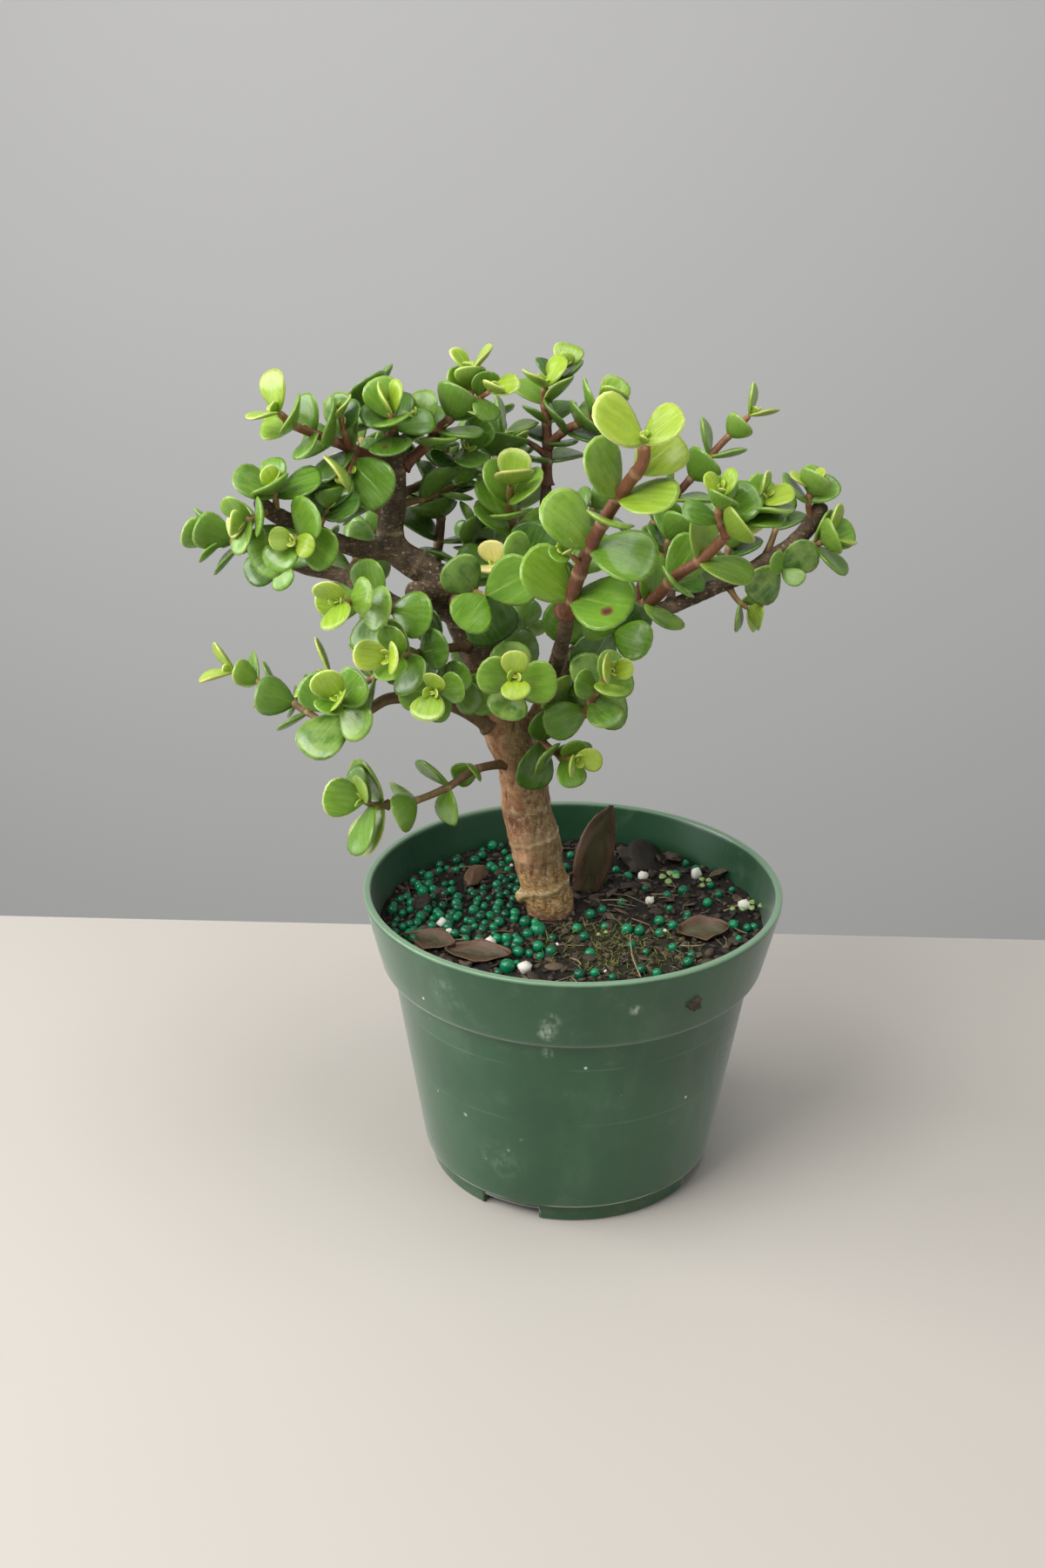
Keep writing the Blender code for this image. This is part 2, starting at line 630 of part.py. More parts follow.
def soilShape():
    # The side comes from the profile, and the top's rings follow the relief.
    profile = soilProfile + [(radius, soilLevel) for radius in soilRings] + [(0, soilLevel)]
    points, faces = revolved(profile, potSides)
    firstTop = 1 + (len(soilProfile) - 1) * potSides
    points = [Vector(point) for point in points]
    for point in points[firstTop:]:
        point.z = soilHeight(point.x, point.y)
    return points, faces


def prillPlaces():
    # The hand-placed large ones, then seeded draws that thin out to the right as in the photo.
    placed = list(biggestPrills)
    draw = Random(prills["seed"])
    while len(placed) < prills["count"]:
        x, y = draw.uniform(-1, 1) * prills["reach"], draw.uniform(-1, 1) * prills["reach"]
        radius = draw.uniform(*prills["radius"])
        keep = draw.random() < (prills["left"] if x < prills["leftOf"] else 1 - prills["left"])
        inside = hypot(x, y) < prills["reach"] - radius
        trunkReach = hole["radius"] + prills["offTrunk"]
        offTrunk = hypot(x - trunkFoot[0], y - trunkFoot[1]) > trunkReach + radius
        free = all(hypot(x - a, y - b) > radius + r + prills["spacing"] for a, b, r in placed)
        offLitter = all(hypot(x - a, y - b) > radius + r for a, b, r in litterClear)
        if keep and inside and offTrunk and free and offLitter:
            placed.append((x, y, radius))
    return placed


def makeSoil():
    soil = solid("soil", soilShape(), "soil")
    balls = []
    for k, (x, y, radius) in enumerate(prillPlaces()):
        centre = (x, y, soilHeight(x, y) + prills["raised"] * radius)
        balls.append(solid(f"prill{k}", ball(centre, radius, prills["sides"]), "soil"))
    boolean(soil, "UNION", balls)
    low, high, radius = hole["floor"], hole["top"], hole["radius"]
    points, faces = revolved([(0, low), (radius, low), (radius, high), (0, high)], hole["sides"])
    points = [(x + trunkFoot[0], y + trunkFoot[1], z) for x, y, z in points]
    return boolean(soil, "DIFFERENCE", [solid("hole", (points, faces), "soil")])


def woodShapes():
    step = wood["step"]
    shapes = [tube(Path(vectors(trunkRoute)), 0, trunkRadii, wood["trunkSides"], step)]
    for route, foot, end in limbs:
        shapes.append(tube(Path(vectors(route)), 0, [foot, end], wood["limbSides"], step))
    return shapes


def makeWood(room):
    shapes = woodShapes()
    for shape in shapes:
        room.add("trunk", shape, shape)
    pieces = [solid(f"wood{k}", shape, "wood") for k, shape in enumerate(shapes)]
    trunk = boolean(pieces[0], "UNION", pieces[1:])
    trunk.name = "trunk_and_limbs"


def makeSprays(room):
    count = 0
    stemsOf = {name: growStems(name, twigs, room) for name, twigs in sprays.items()}
    for name, twigs in sprays.items():
        stems = stemsOf[name]
        leaves = growLeaves(name, twigs, stems, room)
        shapes = [shape for shape, _, _ in stems] + [leafMesh(leaf) for leaf in leaves]
        pieces = [solid(f"{name}{k}", shape, "foliage") for k, shape in enumerate(shapes)]
        spray = boolean(pieces[0], "UNION", pieces[1:])
        spray.name = "spray_" + name
        count += len(leaves)
    print("leaves", count)


def sheet(outline, thick):
    # A thin closed plate from a flat outline of points in space, thickened along its own normal.
    points = [Vector(point) for point in outline]
    middle = sum(points, Vector()) / len(points)
    normal = Vector()
    for a, b in zip(points, points[1:] + points[:1]):
        normal += (a - middle).cross(b - middle)
    normal.normalize()
    points.append(middle)
    count = len(points)
    both = [point + normal * thick / 2 for point in points] + [point - normal * thick / 2 for point in points]
    faces = []
    for k in range(count - 1):
        after = (k + 1) % (count - 1)
        faces += [(k, after, count - 1), (count + after, count + k, 2 * count - 1)]
        faces.append((after, k, count + k, count + after))
    return both, faces


def makeLitter():
    ground = treeOf(soilShape())
    for name, (outline, thick) in litter.items():
        points, faces = sheet(vectors(outline), thick)
        drops = []
        for point in points:
            below, _, _, _ = ground.ray_cast(Vector((point.x, point.y, 200)), Vector((0, 0, -1)))
            drops.append(point.z - below.z)
        lift = gap - min(drops)
        solid(name, ([point + Vector((0, 0, lift)) for point in points], faces), "dryLeaf")


clearScene()
makePot()
makeSoil()
crown = Room()
makeWood(crown)
makeSprays(crown)
makeLitter()
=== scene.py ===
# A dwarf jade bonsai in a round nursery pot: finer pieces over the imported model, in its own frame.
from math import copysign, cos, exp, hypot, pi, radians, sin
from random import Random

import bmesh
import bpy
from mathutils import Matrix, Vector, kdtree, noise
from mathutils.bvhtree import BVHTree


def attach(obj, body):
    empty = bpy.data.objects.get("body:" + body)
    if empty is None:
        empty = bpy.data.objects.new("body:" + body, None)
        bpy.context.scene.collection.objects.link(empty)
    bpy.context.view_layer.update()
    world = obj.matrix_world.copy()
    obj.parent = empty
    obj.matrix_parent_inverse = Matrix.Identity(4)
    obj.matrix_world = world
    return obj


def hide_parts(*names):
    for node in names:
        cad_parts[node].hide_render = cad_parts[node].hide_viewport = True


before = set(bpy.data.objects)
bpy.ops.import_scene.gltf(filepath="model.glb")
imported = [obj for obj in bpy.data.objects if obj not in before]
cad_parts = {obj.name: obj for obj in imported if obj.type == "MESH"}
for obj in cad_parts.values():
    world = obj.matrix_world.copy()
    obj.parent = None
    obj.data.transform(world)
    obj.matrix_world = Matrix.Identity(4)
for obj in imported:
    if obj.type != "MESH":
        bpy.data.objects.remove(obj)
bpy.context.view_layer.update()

mm = 0.001  # sizes below are in millimetres, and fill() turns a finished mesh into metres


class Wire:
    # One socket of a material, so that plain Python expressions on values add Math nodes.
    def __init__(self, paint, socket):
        self.paint = paint
        self.socket = socket

    def maths(self, operation, *values):
        return self.paint.node("ShaderNodeMath", {"operation": operation}, dict(enumerate(values)))

    def __add__(self, other):
        return self.maths("ADD", self, other)

    def __radd__(self, other):
        return self.maths("ADD", other, self)

    def __sub__(self, other):
        return self.maths("SUBTRACT", self, other)

    def __rsub__(self, other):
        return self.maths("SUBTRACT", other, self)

    def __mul__(self, other):
        return self.maths("MULTIPLY", self, other)

    def __rmul__(self, other):
        return self.maths("MULTIPLY", other, self)

    def __abs__(self):
        return self.maths("ABSOLUTE", self)


class Paint:
    # A material with one Principled shader. Constants go on its sockets, patterns are linked by coat().
    def __init__(self, name, **constants):
        self.material = bpy.data.materials.new(name)
        self.material.use_nodes = True
        self.tree = self.material.node_tree
        self.shader = self.tree.nodes["Principled BSDF"]
        for socket, value in constants.items():
            self.shader.inputs[socket.replace("_", " ")].default_value = value

    def node(self, kind, settings=None, inputs=None, output=0):
        made = self.tree.nodes.new(kind)
        for key, value in (settings or {}).items():
            setattr(made, key, value)
        for key, value in (inputs or {}).items():
            if isinstance(value, Wire):
                self.tree.links.new(value.socket, made.inputs[key])
            else:
                made.inputs[key].default_value = value
        return Wire(self, made.outputs[output])

    def place(self):
        return self.node("ShaderNodeTexCoord", output="Object")

    def attribute(self, name, output="Fac"):
        return self.node("ShaderNodeAttribute", {"attribute_name": name}, output=output)

    def parts(self, vector):
        split = self.node("ShaderNodeSeparateXYZ", inputs={0: vector})
        return [Wire(self, output) for output in split.socket.node.outputs]

    def noise(self, scale, detail=3, rough=0.55, at=None):
        # Three scales, one for each direction, draw the pattern out into fibres or scratches.
        if isinstance(scale, tuple):
            scale, at = 1, self.stretched(scale)
        inputs = {"Scale": scale, "Detail": detail, "Roughness": rough, "Vector": at or self.place()}
        return self.node("ShaderNodeTexNoise", inputs=inputs, output="Fac")

    def spots(self, scale):
        # How far the nearest of evenly strewn points is.
        inputs = {"Vector": self.place(), "Scale": scale}
        return self.node("ShaderNodeTexVoronoi", inputs=inputs, output="Distance")

    def step(self, value, low, high, to=(0, 1)):
        inputs = {"Value": value, "From Min": low, "From Max": high, "To Min": to[0], "To Max": to[1]}
        return self.node("ShaderNodeMapRange", {"interpolation_type": "SMOOTHSTEP"}, inputs)

    def joined(self, *values):
        return self.node("ShaderNodeCombineXYZ", inputs=dict(enumerate(values)))

    def mix(self, share, first, second, blend="MIX"):
        first = (*first, 1) if isinstance(first, tuple) else first
        second = (*second, 1) if isinstance(second, tuple) else second
        settings = {"data_type": "RGBA", "blend_type": blend}
        return self.node("ShaderNodeMix", settings, {0: share, 6: first, 7: second}, output=2)

    def layered(self, skin, *layers):
        # Each layer is a share and a colour that lies over what is below it.
        for share, colour in layers:
            skin = self.mix(share, skin, colour)
        return skin

    def stretched(self, factors):
        inputs = {0: self.place(), 1: factors}
        return self.node("ShaderNodeVectorMath", {"operation": "MULTIPLY"}, inputs)

    def near(self, point, reach, soft=0.4):
        # 1 inside a ball of that reach in millimetres round the point, 0 outside it.
        inputs = {0: self.place(), 1: tuple(Vector(point) * mm)}
        away = self.node("ShaderNodeVectorMath", {"operation": "DISTANCE"}, inputs, output="Value")
        return self.step(away, reach * mm, reach * mm * soft)

    def bump(self, height, distance, strength=1.0):
        inputs = {"Height": height, "Distance": distance * mm, "Strength": strength}
        return self.node("ShaderNodeBump", inputs=inputs)

    def coat(self, **links):
        for socket, wire in links.items():
            self.tree.links.new(wire.socket, self.shader.inputs[socket.replace("_", " ")])
        return self.material


# The tree's routes are those of the solids: each point is x, y and z.
trunkFoot = (-8, 7)
trunkRoute = (
    "-8 7 64, -8 7 84, -8 7 96, -12.5 7 115, -14 6 124, -17 5 136, -19 3 154, -25 1 170, -29 -2 188, "
    "-38 -5 208, -42 -7 219, -51 -8 228, -62 -8 237, -62 -6 251, -62 -5 261, -61 -6 271"
)
trunkRadii = [8.6, 8.9, 8.8, 8.8, 9.2, 8.8, 8.6, 8.2, 7.6, 6.7, 6.2, 5.8, 5.2, 4.4, 4.6, 4.0]
wood = {"trunkSides": 10, "limbSides": 7, "step": 12}
limbs = [  # route, radius where it leaves the trunk, radius at its end
    ("-62 -8 236, -70 -12 236, -81 -18 241, -88 -22 246, -97 -27 251, -103 -30 257", 3.2, 2.6),
    ("-44 -5 214, -58 4 211, -73 14 215, -85 22 218, -96 25 219, -111 27 224, -119 28 226", 3.2, 2.2),
    ("-45 -7 219, -50 -16 223, -55 -23 225", 4.4, 3.6),
    ("-23 2 163, -13 5 174, -9 6 185, -2 7 194, 5 7 203, 12 6 210", 3.2, 2.7),
    ("8 6 206, 17 8 211, 29 10 211, 47 14 218, 57 16 222, 65 18 227, 73 19 232, 80 20 240, 83 20 247",
     2.6, 3.0),
    ("-37 -4 205, -28 4 211, -23 8 218, -23 10 228", 3.2, 2.4),
    ("-25 7 215, -19 20 223, -13 28 236, -12 31 250", 2.5, 2.1),
    ("-14 4 172, -7 -14 199, -4 -30 217, -4 -38 225", 2.7, 2.6),
]


def twig(route, stem, pairs, leaf, spread, start, roll=0, turn=90, bare=()):
    # Stem radii at its foot and tip, leaf lengths and leaf angles from the stem at the first and last pair.
    # bare: pairs that have lost the leaf towards the viewer.
    return {"route": route, "stem": stem, "pairs": pairs, "leaf": leaf, "open": spread, "start": start,
            "roll": roll, "turn": turn, "bare": bare}


sprays = {  # the first twig stands on the wood, and the others grow from it
    "endUpper": [twig("-97 -27 251, -97 -28 256, -97 -29 260", (1.3, 0.9), 3, (13, 8), (60, 30), 0.35)],
    "endLower": [
        twig("-100 -29 254, -103 -32 252, -106 -34 251", (1.3, 0.9), 3, (12, 8), (75, 40), 0.35, 80),
    ],
    "leftUpright": [twig("-85 -20 244, -83 -23 249, -81 -24 253", (1.2, 0.9), 2, (12, 10), (45, 30), 0.5)],
    "leftHanging": [twig("-89 -23 247, -89 -30 246, -90 -37 246", (1.4, 0.9), 3, (15, 8), (80, 50), 0.4)],
    "backTip": [twig("-119 28 226, -124 29 228, -129 30 229", (1.8, 1.1), 4, (13, 12), (70, 30), 0.1)],
    "backRound": [twig("-107 27 222, -105 20 222, -104 13 223", (1.3, 0.9), 2, (13, 9), (75, 50), 0.5, 30)],
    "backDark": [twig("-94 25 218, -95 30 222, -98 33 227", (1.3, 0.9), 3, (12, 10), (65, 40), 0.3)],
    "leftLong": [
        twig("-63 -5 264, -74 -10 269, -83 -15 274, -91 -19 278, -96 -22 283",
             (2.0, 1.2), 5, (15, 10), (70, 45), 0.25, 20),
        twig("-76 -11 269, -76 -15 275, -77 -17 281", (1.2, 0.9), 2, (10, 9), (50, 35), 0.6, 10),
        twig("-73 -10 268, -74 -16 266, -75 -20 263", (1.2, 0.9), 2, (14, 13), (65, 50), 0.5),
    ],
    "crownLeft": [twig("-62 -5 273, -67 4 277, -71 8 283", (1.4, 1.0), 3, (13, 12), (75, 65), 0.4)],
    "crown": [twig("-62 -6 272, -61 -9 276, -61 -14 282", (2.0, 1.3), 4, (15, 9), (100, 30), 0.15, 110)],
    "topTall": [
        twig("-60 -5 263, -51 0 269, -47 2 274, -40 3 280, -37 3 284, -37 3 292",
             (2.0, 1.1), 6, (14, 9), (65, 35), 0.2, 80),
        twig("-37 3 282, -33 0 285, -30 -2 287", (1.0, 0.8), 2, (9, 8), (55, 35), 0.5),
        twig("-48 1 273, -52 -4 275, -54 -6 279", (1.2, 0.9), 2, (12, 10), (60, 40), 0.5),
    ],
    "middleThin": [
        twig("-49 0 226, -49 10 228, -48 16 239, -48 20 255, -46 22 265",
             (1.9, 1.2), 5, (15, 13), (70, 45), 0.35),
        twig("-48 19 250, -37 24 256, -27 28 266", (1.3, 1.0), 3, (14, 12), (65, 45), 0.4, 30),
        twig("-47 21 259, -43 14 262, -39 8 266", (1.2, 0.9), 2, (13, 12), (65, 45), 0.5, 60),
    ],
    "centreTop": [
        twig("-12 31 251, -12 32 266, -13 33 277, -13 31 283", (2.0, 1.4), 5, (13, 11), (75, 50), 0.2, 45),
        twig("-12 33 275, -9 34 284, -7 34 289", (1.2, 0.9), 2, (11, 9), (55, 35), 0.6),
        twig("-11 32 263, -5 30 269, 1 28 272, 7 26 278", (1.7, 1.2), 4, (13, 10), (65, 40), 0.3, 20),
        twig("-12 32 259, -17 31 263, -20 30 265", (1.2, 0.9), 2, (13, 12), (60, 40), 0.5, 30),
    ],
    "centreCream": [
        twig("-23 10 228, -22 5 239, -24 0 249, -23 -4 257", (1.9, 1.3), 4, (14, 12), (60, 35), 0.3),
    ],
    "centreYellow": [twig("-24 8 220, -27 0 226, -28 -6 230", (1.3, 0.9), 2, (12, 10), (60, 40), 0.5)],
    "front": [
        twig("-4 -38 225, -3 -42 228, 2 -50 246, 4 -52 251, 9 -57 262, 14 -61 271, 18 -64 278, 18 -66 284",
             (2.5, 1.9), 7, (17, 15), (72, 55), 0.1, 0, 90, (1, 3, 5)),
        twig("1 -48 243, -1 -52 245, -3 -54 247", (1.0, 0.8), 1, (6, 6), (45, 35), 1.0),
    ],
    "right": [
        twig("12 6 210, 19 -4 215, 26 -12 222, 32 -18 231, 40 -22 238, 47 -26 247",
             (2.3, 1.8), 4, (15, 14), (60, 50), 0.3),
        twig("47 -26 247, 44 -28 252, 44 -30 260", (1.6, 1.1), 3, (13, 8), (60, 35), 0.4),
        twig("47 -26 247, 51 -26 253, 56 -26 258", (1.5, 1.1), 3, (14, 10), (65, 40), 0.4, 20),
    ],
    "farEnd": [twig("80 20 239, 78 18 246, 78 17 253", (1.3, 0.9), 3, (11, 8), (55, 35), 0.35)],
    "farSide": [twig("72 19 230, 80 16 233, 85 14 236", (1.8, 1.1), 3, (13, 10), (60, 40), 0.4)],
    "farRound": [twig("67 18 227, 68 11 227, 69 5 227", (1.2, 0.9), 2, (13, 9), (85, 60), 0.6, 20)],
    "farDrop": [twig("52 15 218, 55 13 214, 59 12 211", (1.1, 0.8), 2, (9, 8), (60, 45), 0.6)],
    "farInner": [twig("52 15 220, 51 18 228, 53 20 234", (1.4, 1.0), 3, (12, 10), (65, 45), 0.4)],
    "farUpper": [twig("65 18 227, 67 22 234, 69 26 239", (1.3, 0.9), 2, (12, 10), (60, 45), 0.6)],
    "rightTall": [
        twig("19 8 211, 23 20 222, 24 25 233, 28 28 240, 40 32 254, 48 35 263, 58 38 273",
             (1.9, 1.1), 7, (14, 9), (65, 40), 0.25),
    ],
    "lowFace": [
        twig("-13 0 174, -6 -6 178, 2 -14 180, 6 -25 192, 11 -38 204",
             (1.8, 1.2), 5, (14, 9), (85, 45), 0.4, 45),
    ],
    "lowRight": [
        twig("-14 2 171, -12 -6 168, -5 -16 166, 0 -24 168", (1.5, 1.0), 4, (15, 9), (75, 45), 0.3, 30),
    ],
    "lowRound": [twig("-9 6 185, -5 -2 186, -3 -9 186", (1.2, 0.9), 2, (13, 12), (80, 60), 0.6, 40)],
    "rightHanging": [twig("8 6 207, 11 -8 209, 12 -18 211", (1.5, 1.0), 2, (15, 12), (85, 60), 0.5, 60)],
    "olive": [twig("-2 7 194, 0 -4 201, 1 -13 206", (1.4, 1.0), 2, (15, 13), (80, 60), 0.5, 60)],
    "leftFace": [
        twig("-47 -8 215, -56 -14 216, -64 -24 220, -71 -36 225, -75 -47 229",
             (1.9, 1.2), 5, (16, 10), (88, 45), 0.35, 90),
    ],
    "lowerFace": [
        twig("-37 -8 203, -47 -18 204, -55 -30 206, -60 -44 210", (1.7, 1.1), 5, (14, 9), (85, 45), 0.3),
        twig("-58 -36 207, -67 -27 197, -77 -18 190, -84 -13 192", (1.3, 0.9), 3, (13, 11), (65, 45), 0.4),
    ],
    "centreFace": [
        twig("-33 -8 193, -40 -18 194, -44 -30 195, -46 -43 198", (1.7, 1.1), 4, (14, 9), (85, 45), 0.35),
    ],
    "middleFace": [
        twig("-27 -8 184, -23 -16 189, -21 -28 195, -20 -42 203", (1.6, 1.1), 4, (14, 10), (80, 55), 0.35),
    ],
    "trunkRound": [
        twig("-42 -12 219, -36 -18 224, -30 -28 226", (1.5, 1.0), 2, (15, 14), (85, 65), 0.6, 70),
    ],
    "lowLeft": [
        twig("-33 -6 172, -41 -10 181, -51 -14 185, -63 -20 187, -70 -24 184, -77 -28 180, -86 -30 177",
             (2.8, 1.5), 2, (9, 7), (40, 30), 0.8),
        twig("-77 -28 181, -77 -36 189, -77 -43 195", (1.5, 1.1), 4, (14, 9), (85, 45), 0.4, 45),
        twig("-82 -29 178, -90 -12 177, -96 -4 177, -104 4 179, -109 6 180, -114 8 183, -121 8 186",
             (1.4, 1.0), 5, (12, 10), (55, 45), 0.4),
    ],
    "lowest": [
        twig("-26 -6 157, -35 -11 158, -44 -15 153, -56 -19 149, -66 -23 149",
             (1.6, 1.1), 4, (9, 15), (60, 65), 0.2, 80),
        twig("-64 -22 149, -69 -25 150, -72 -27 152", (1.3, 0.9), 2, (15, 11), (80, 40), 0.7, 40),
    ],
    "backUpper": [
        twig("-62 2 254, -69 25 253, -78 48 259, -83 60 266", (1.7, 1.1), 5, (13, 10), (65, 45), 0.25),
    ],
    "backCrown": [
        twig("-50 22 250, -46 48 250, -39 66 257, -35 74 264", (1.6, 1.1), 5, (13, 10), (65, 45), 0.3),
    ],
    "backMiddle": [
        twig("-43 2 215, -42 36 218, -35 66 221, -27 86 225", (1.9, 1.1), 5, (14, 11), (65, 45), 0.3),
    ],
    "backCentre": [
        twig("-22 14 218, -15 48 218, -4 74 222, 5 88 227", (1.8, 1.1), 6, (14, 11), (65, 45), 0.3),
    ],
    "backRight": [
        twig("32 16 210, 35 48 216, 44 70 223, 51 80 228", (1.7, 1.1), 5, (13, 10), (65, 45), 0.3),
    ],
    "backLow": [
        twig("-29 6 185, -29 40 186, -24 62 186, -20 76 185", (1.7, 1.1), 5, (13, 10), (70, 45), 0.35),
    ],
    "backLeft": [
        twig("-82 24 215, -83 52 214, -79 76 219, -76 84 223", (1.7, 1.1), 5, (13, 10), (65, 45), 0.3),
    ],
    "backTop": [
        twig("-16 26 231, -26 52 240, -32 64 253, -35 68 262", (1.6, 1.1), 5, (13, 10), (65, 45), 0.35),
    ],
    "innerFront": [twig("-23 9 225, -19 -8 230, -16 -20 235", (1.4, 1.0), 2, (14, 12), (80, 60), 0.5, 60)],
    "innerUpper": [
        twig("-60 -4 250, -54 2 250, -48 7 251, -43 11 253", (1.4, 0.9), 3, (14, 12), (70, 50), 0.35, 50),
    ],
    "innerCentre": [
        twig("-38 -3 219, -38 3 226, -38 7 232, -36 9 239", (1.4, 0.9), 3, (14, 13), (75, 55), 0.35, 20),
    ],
    "innerLeft": [twig("-63 -6 247, -70 -1 248, -77 2 251", (1.3, 0.9), 3, (13, 11), (70, 50), 0.35, 30)],
    "innerRight": [
        twig("22 8 211, 26 7 222, 28 6 230, 30 6 237", (1.5, 1.0), 4, (14, 11), (70, 50), 0.35, 20),
    ],
}

leafShape = {  # shares of the leaf's length and width
    "outline": [(0, 0), (0.5, 0.46), (0.97, 0.3), (0.97, -0.3), (0.5, -0.46)],
    "middle": 0.58, "thick": 2.2, "cup": 0.1,
}
growth = {
    # Which way the leaves face, and how much of that they follow.
    "crownMiddle": Vector((-20, 5, 215)), "outwards": 0.7, "upwards": 0.3, "forwards": 0.4,
    "turnToLight": 0.55, "view": Vector((0, -0.92, 0.39)), "leastSide": 0.35,
    "size": 1.2, "width": (0.82, 1.02), "length": (0.8, 1.14), "rollJitter": 18, "openJitter": 12,
    "rootInStem": 0.35, "bladeStart": 0.34, "lastPair": 0.4, "lowest": 99, "clear": 0.35,
    "stemStep": 12, "stemSides": 5, "stemInWood": 0.8, "stemClear": 0.15, "slide": 0.2,
}
tries = [  # more roll, more opening and size, for a leaf that would meet another
    (0, 0, 1), (14, 0, 1), (-14, 0, 1), (0, -14, 0.95), (0, 14, 0.95), (28, 0, 0.95), (-28, 0, 0.95),
    (0, -24, 0.85), (20, -16, 0.8), (-20, -16, 0.8), (40, 0, 0.8), (-40, 0, 0.8), (0, -10, 0.68),
    (28, -20, 0.66), (-28, -20, 0.66), (0, -30, 0.55), (50, -20, 0.55), (-50, -20, 0.55),
]


def band(here, sides):
    # The quads between one ring of points and the next.
    return [(here + k, here + (k + 1) % sides, here + sides + (k + 1) % sides, here + sides + k)
            for k in range(sides)]


def vectors(text):
    return [Vector([float(word) for word in point.split()]) for point in text.split(",")]


def between(values, share):
    # The value at that share of the way through evenly spread ones.
    place = share * (len(values) - 1)
    low = min(int(place), len(values) - 2)
    return values[low] + (values[low + 1] - values[low]) * (place - low)


class Path:
    # A smooth curve through the given points, measured along its length.
    def __init__(self, points, perSegment=10):
        tangents = []
        for k in range(len(points)):
            before, after = points[max(k - 1, 0)], points[min(k + 1, len(points) - 1)]
            tangents.append((after - before).normalized())
        self.samples = [points[0]]
        for k in range(len(points) - 1):
            a, b = points[k], points[k + 1]
            reach = (b - a).length
            for step in range(1, perSegment + 1):
                t = step / perSegment
                along = tangents[k] * (t**3 - 2 * t**2 + t) + tangents[k + 1] * (t**3 - t**2)
                self.samples.append(a.lerp(b, 3 * t**2 - 2 * t**3) + along * reach)
        self.lengths = [0]
        for a, b in zip(self.samples, self.samples[1:]):
            self.lengths.append(self.lengths[-1] + (b - a).length)
        self.length = self.lengths[-1]

    def at(self, distance):
        distance = min(max(distance, 0), self.length)
        k = 1
        while k < len(self.lengths) - 1 and self.lengths[k] < distance:
            k += 1
        share = (distance - self.lengths[k - 1]) / max(self.lengths[k] - self.lengths[k - 1], 1e-6)
        return self.samples[k - 1].lerp(self.samples[k], share)

    def nearest(self, point):
        return min(self.samples, key=lambda sample: (sample - point).length)

    def heading(self, distance):
        return (self.at(distance + 0.6) - self.at(distance - 0.6)).normalized()


def tube(path, start, radii, sides, step, grow=0):
    # Rings along the path from start to its end, with radii spread evenly along the whole path.
    count = max(2, round((path.length - start) / step))
    across = None
    points, faces = [], []
    for ring in range(count + 1):
        distance = start + (path.length - start) * ring / count
        along = path.heading(distance)
        if across is None:
            across = along.orthogonal().normalized()
        across = (across - along * across.dot(along)).normalized()
        radius = between(radii, distance / path.length) + grow
        for k in range(sides):
            turned = Matrix.Rotation(2 * pi * k / sides, 3, along) @ across
            points.append(path.at(distance) + turned * radius)
    faces.append(tuple(reversed(range(sides))))
    for ring in range(count):
        faces += band(ring * sides, sides)
    faces.append(tuple(range(count * sides, (count + 1) * sides)))
    return points, faces


def leafMesh(leaf, grow=0, start=0):
    # A lens: one outline ring, a point in the middle of each side, start cuts off the share near the stem.
    across = leaf["along"].cross(leaf["normal"])
    length, width = leaf["length"] + grow, leaf["width"] + 2 * grow
    half = leafShape["thick"] / 2 + grow

    def place(t, s, lift):
        return leaf["root"] + leaf["along"] * t * length + across * s * width + leaf["normal"] * lift

    points = [place(max(t, start), s, leafShape["cup"] * width * (2 * s) ** 2)
              for t, s in leafShape["outline"]]
    points += [place(leafShape["middle"], 0, half), place(leafShape["middle"], 0, -half)]
    count = len(leafShape["outline"])
    faces = [(count, k, (k + 1) % count) for k in range(count)]
    faces += [(count + 1, (k + 1) % count, k) for k in range(count)]
    return points, faces


def treeOf(shape):
    return BVHTree.FromPolygons(shape[0], shape[1])


def middleAndReach(points):
    middle = sum(points, Vector()) / len(points)
    return middle, max((point - middle).length for point in points)


class Room:
    # What already stands in the crown, so that no leaf or stem grows through another spray.
    def __init__(self):
        self.taken = []

    def add(self, owner, whole, blade):
        middle, reach = middleAndReach(whole[0])
        self.taken.append((owner, middle, reach, treeOf(whole), treeOf(blade)))

    def blocked(self, owner, whole, blade=None):
        middle, reach = middleAndReach(whole[0])
        wholeTree = treeOf(whole)
        bladeTree = treeOf(blade) if blade else None
        for other, otherMiddle, otherReach, otherWhole, otherBlade in self.taken:
            if (otherMiddle - middle).length > otherReach + reach:
                continue
            if other != owner:
                if wholeTree.overlap(otherWhole):
                    return True
            elif bladeTree and bladeTree.overlap(otherBlade):
                return True
        return False

    def nearestWood(self, point):
        found = [other[3].find_nearest(point) for other in self.taken if other[0] == "trunk"]
        return min(found, key=lambda hit: hit[3])


def stemTube(path, start, radii, grow=0):
    return tube(path, start, radii, growth["stemSides"], growth["stemStep"], grow)


def seated(points, radii, room):
    # The stem starts on the nearest limb: it slides outwards until it only just clears the wood.
    location, normal, _, _ = room.nearestWood(points[0])
    path = Path([location - normal * growth["stemInWood"]] + points[1:])
    start = 0
    while room.blocked("stem", stemTube(path, start, radii, growth["stemClear"])):
        start += growth["slide"]
    return path, start


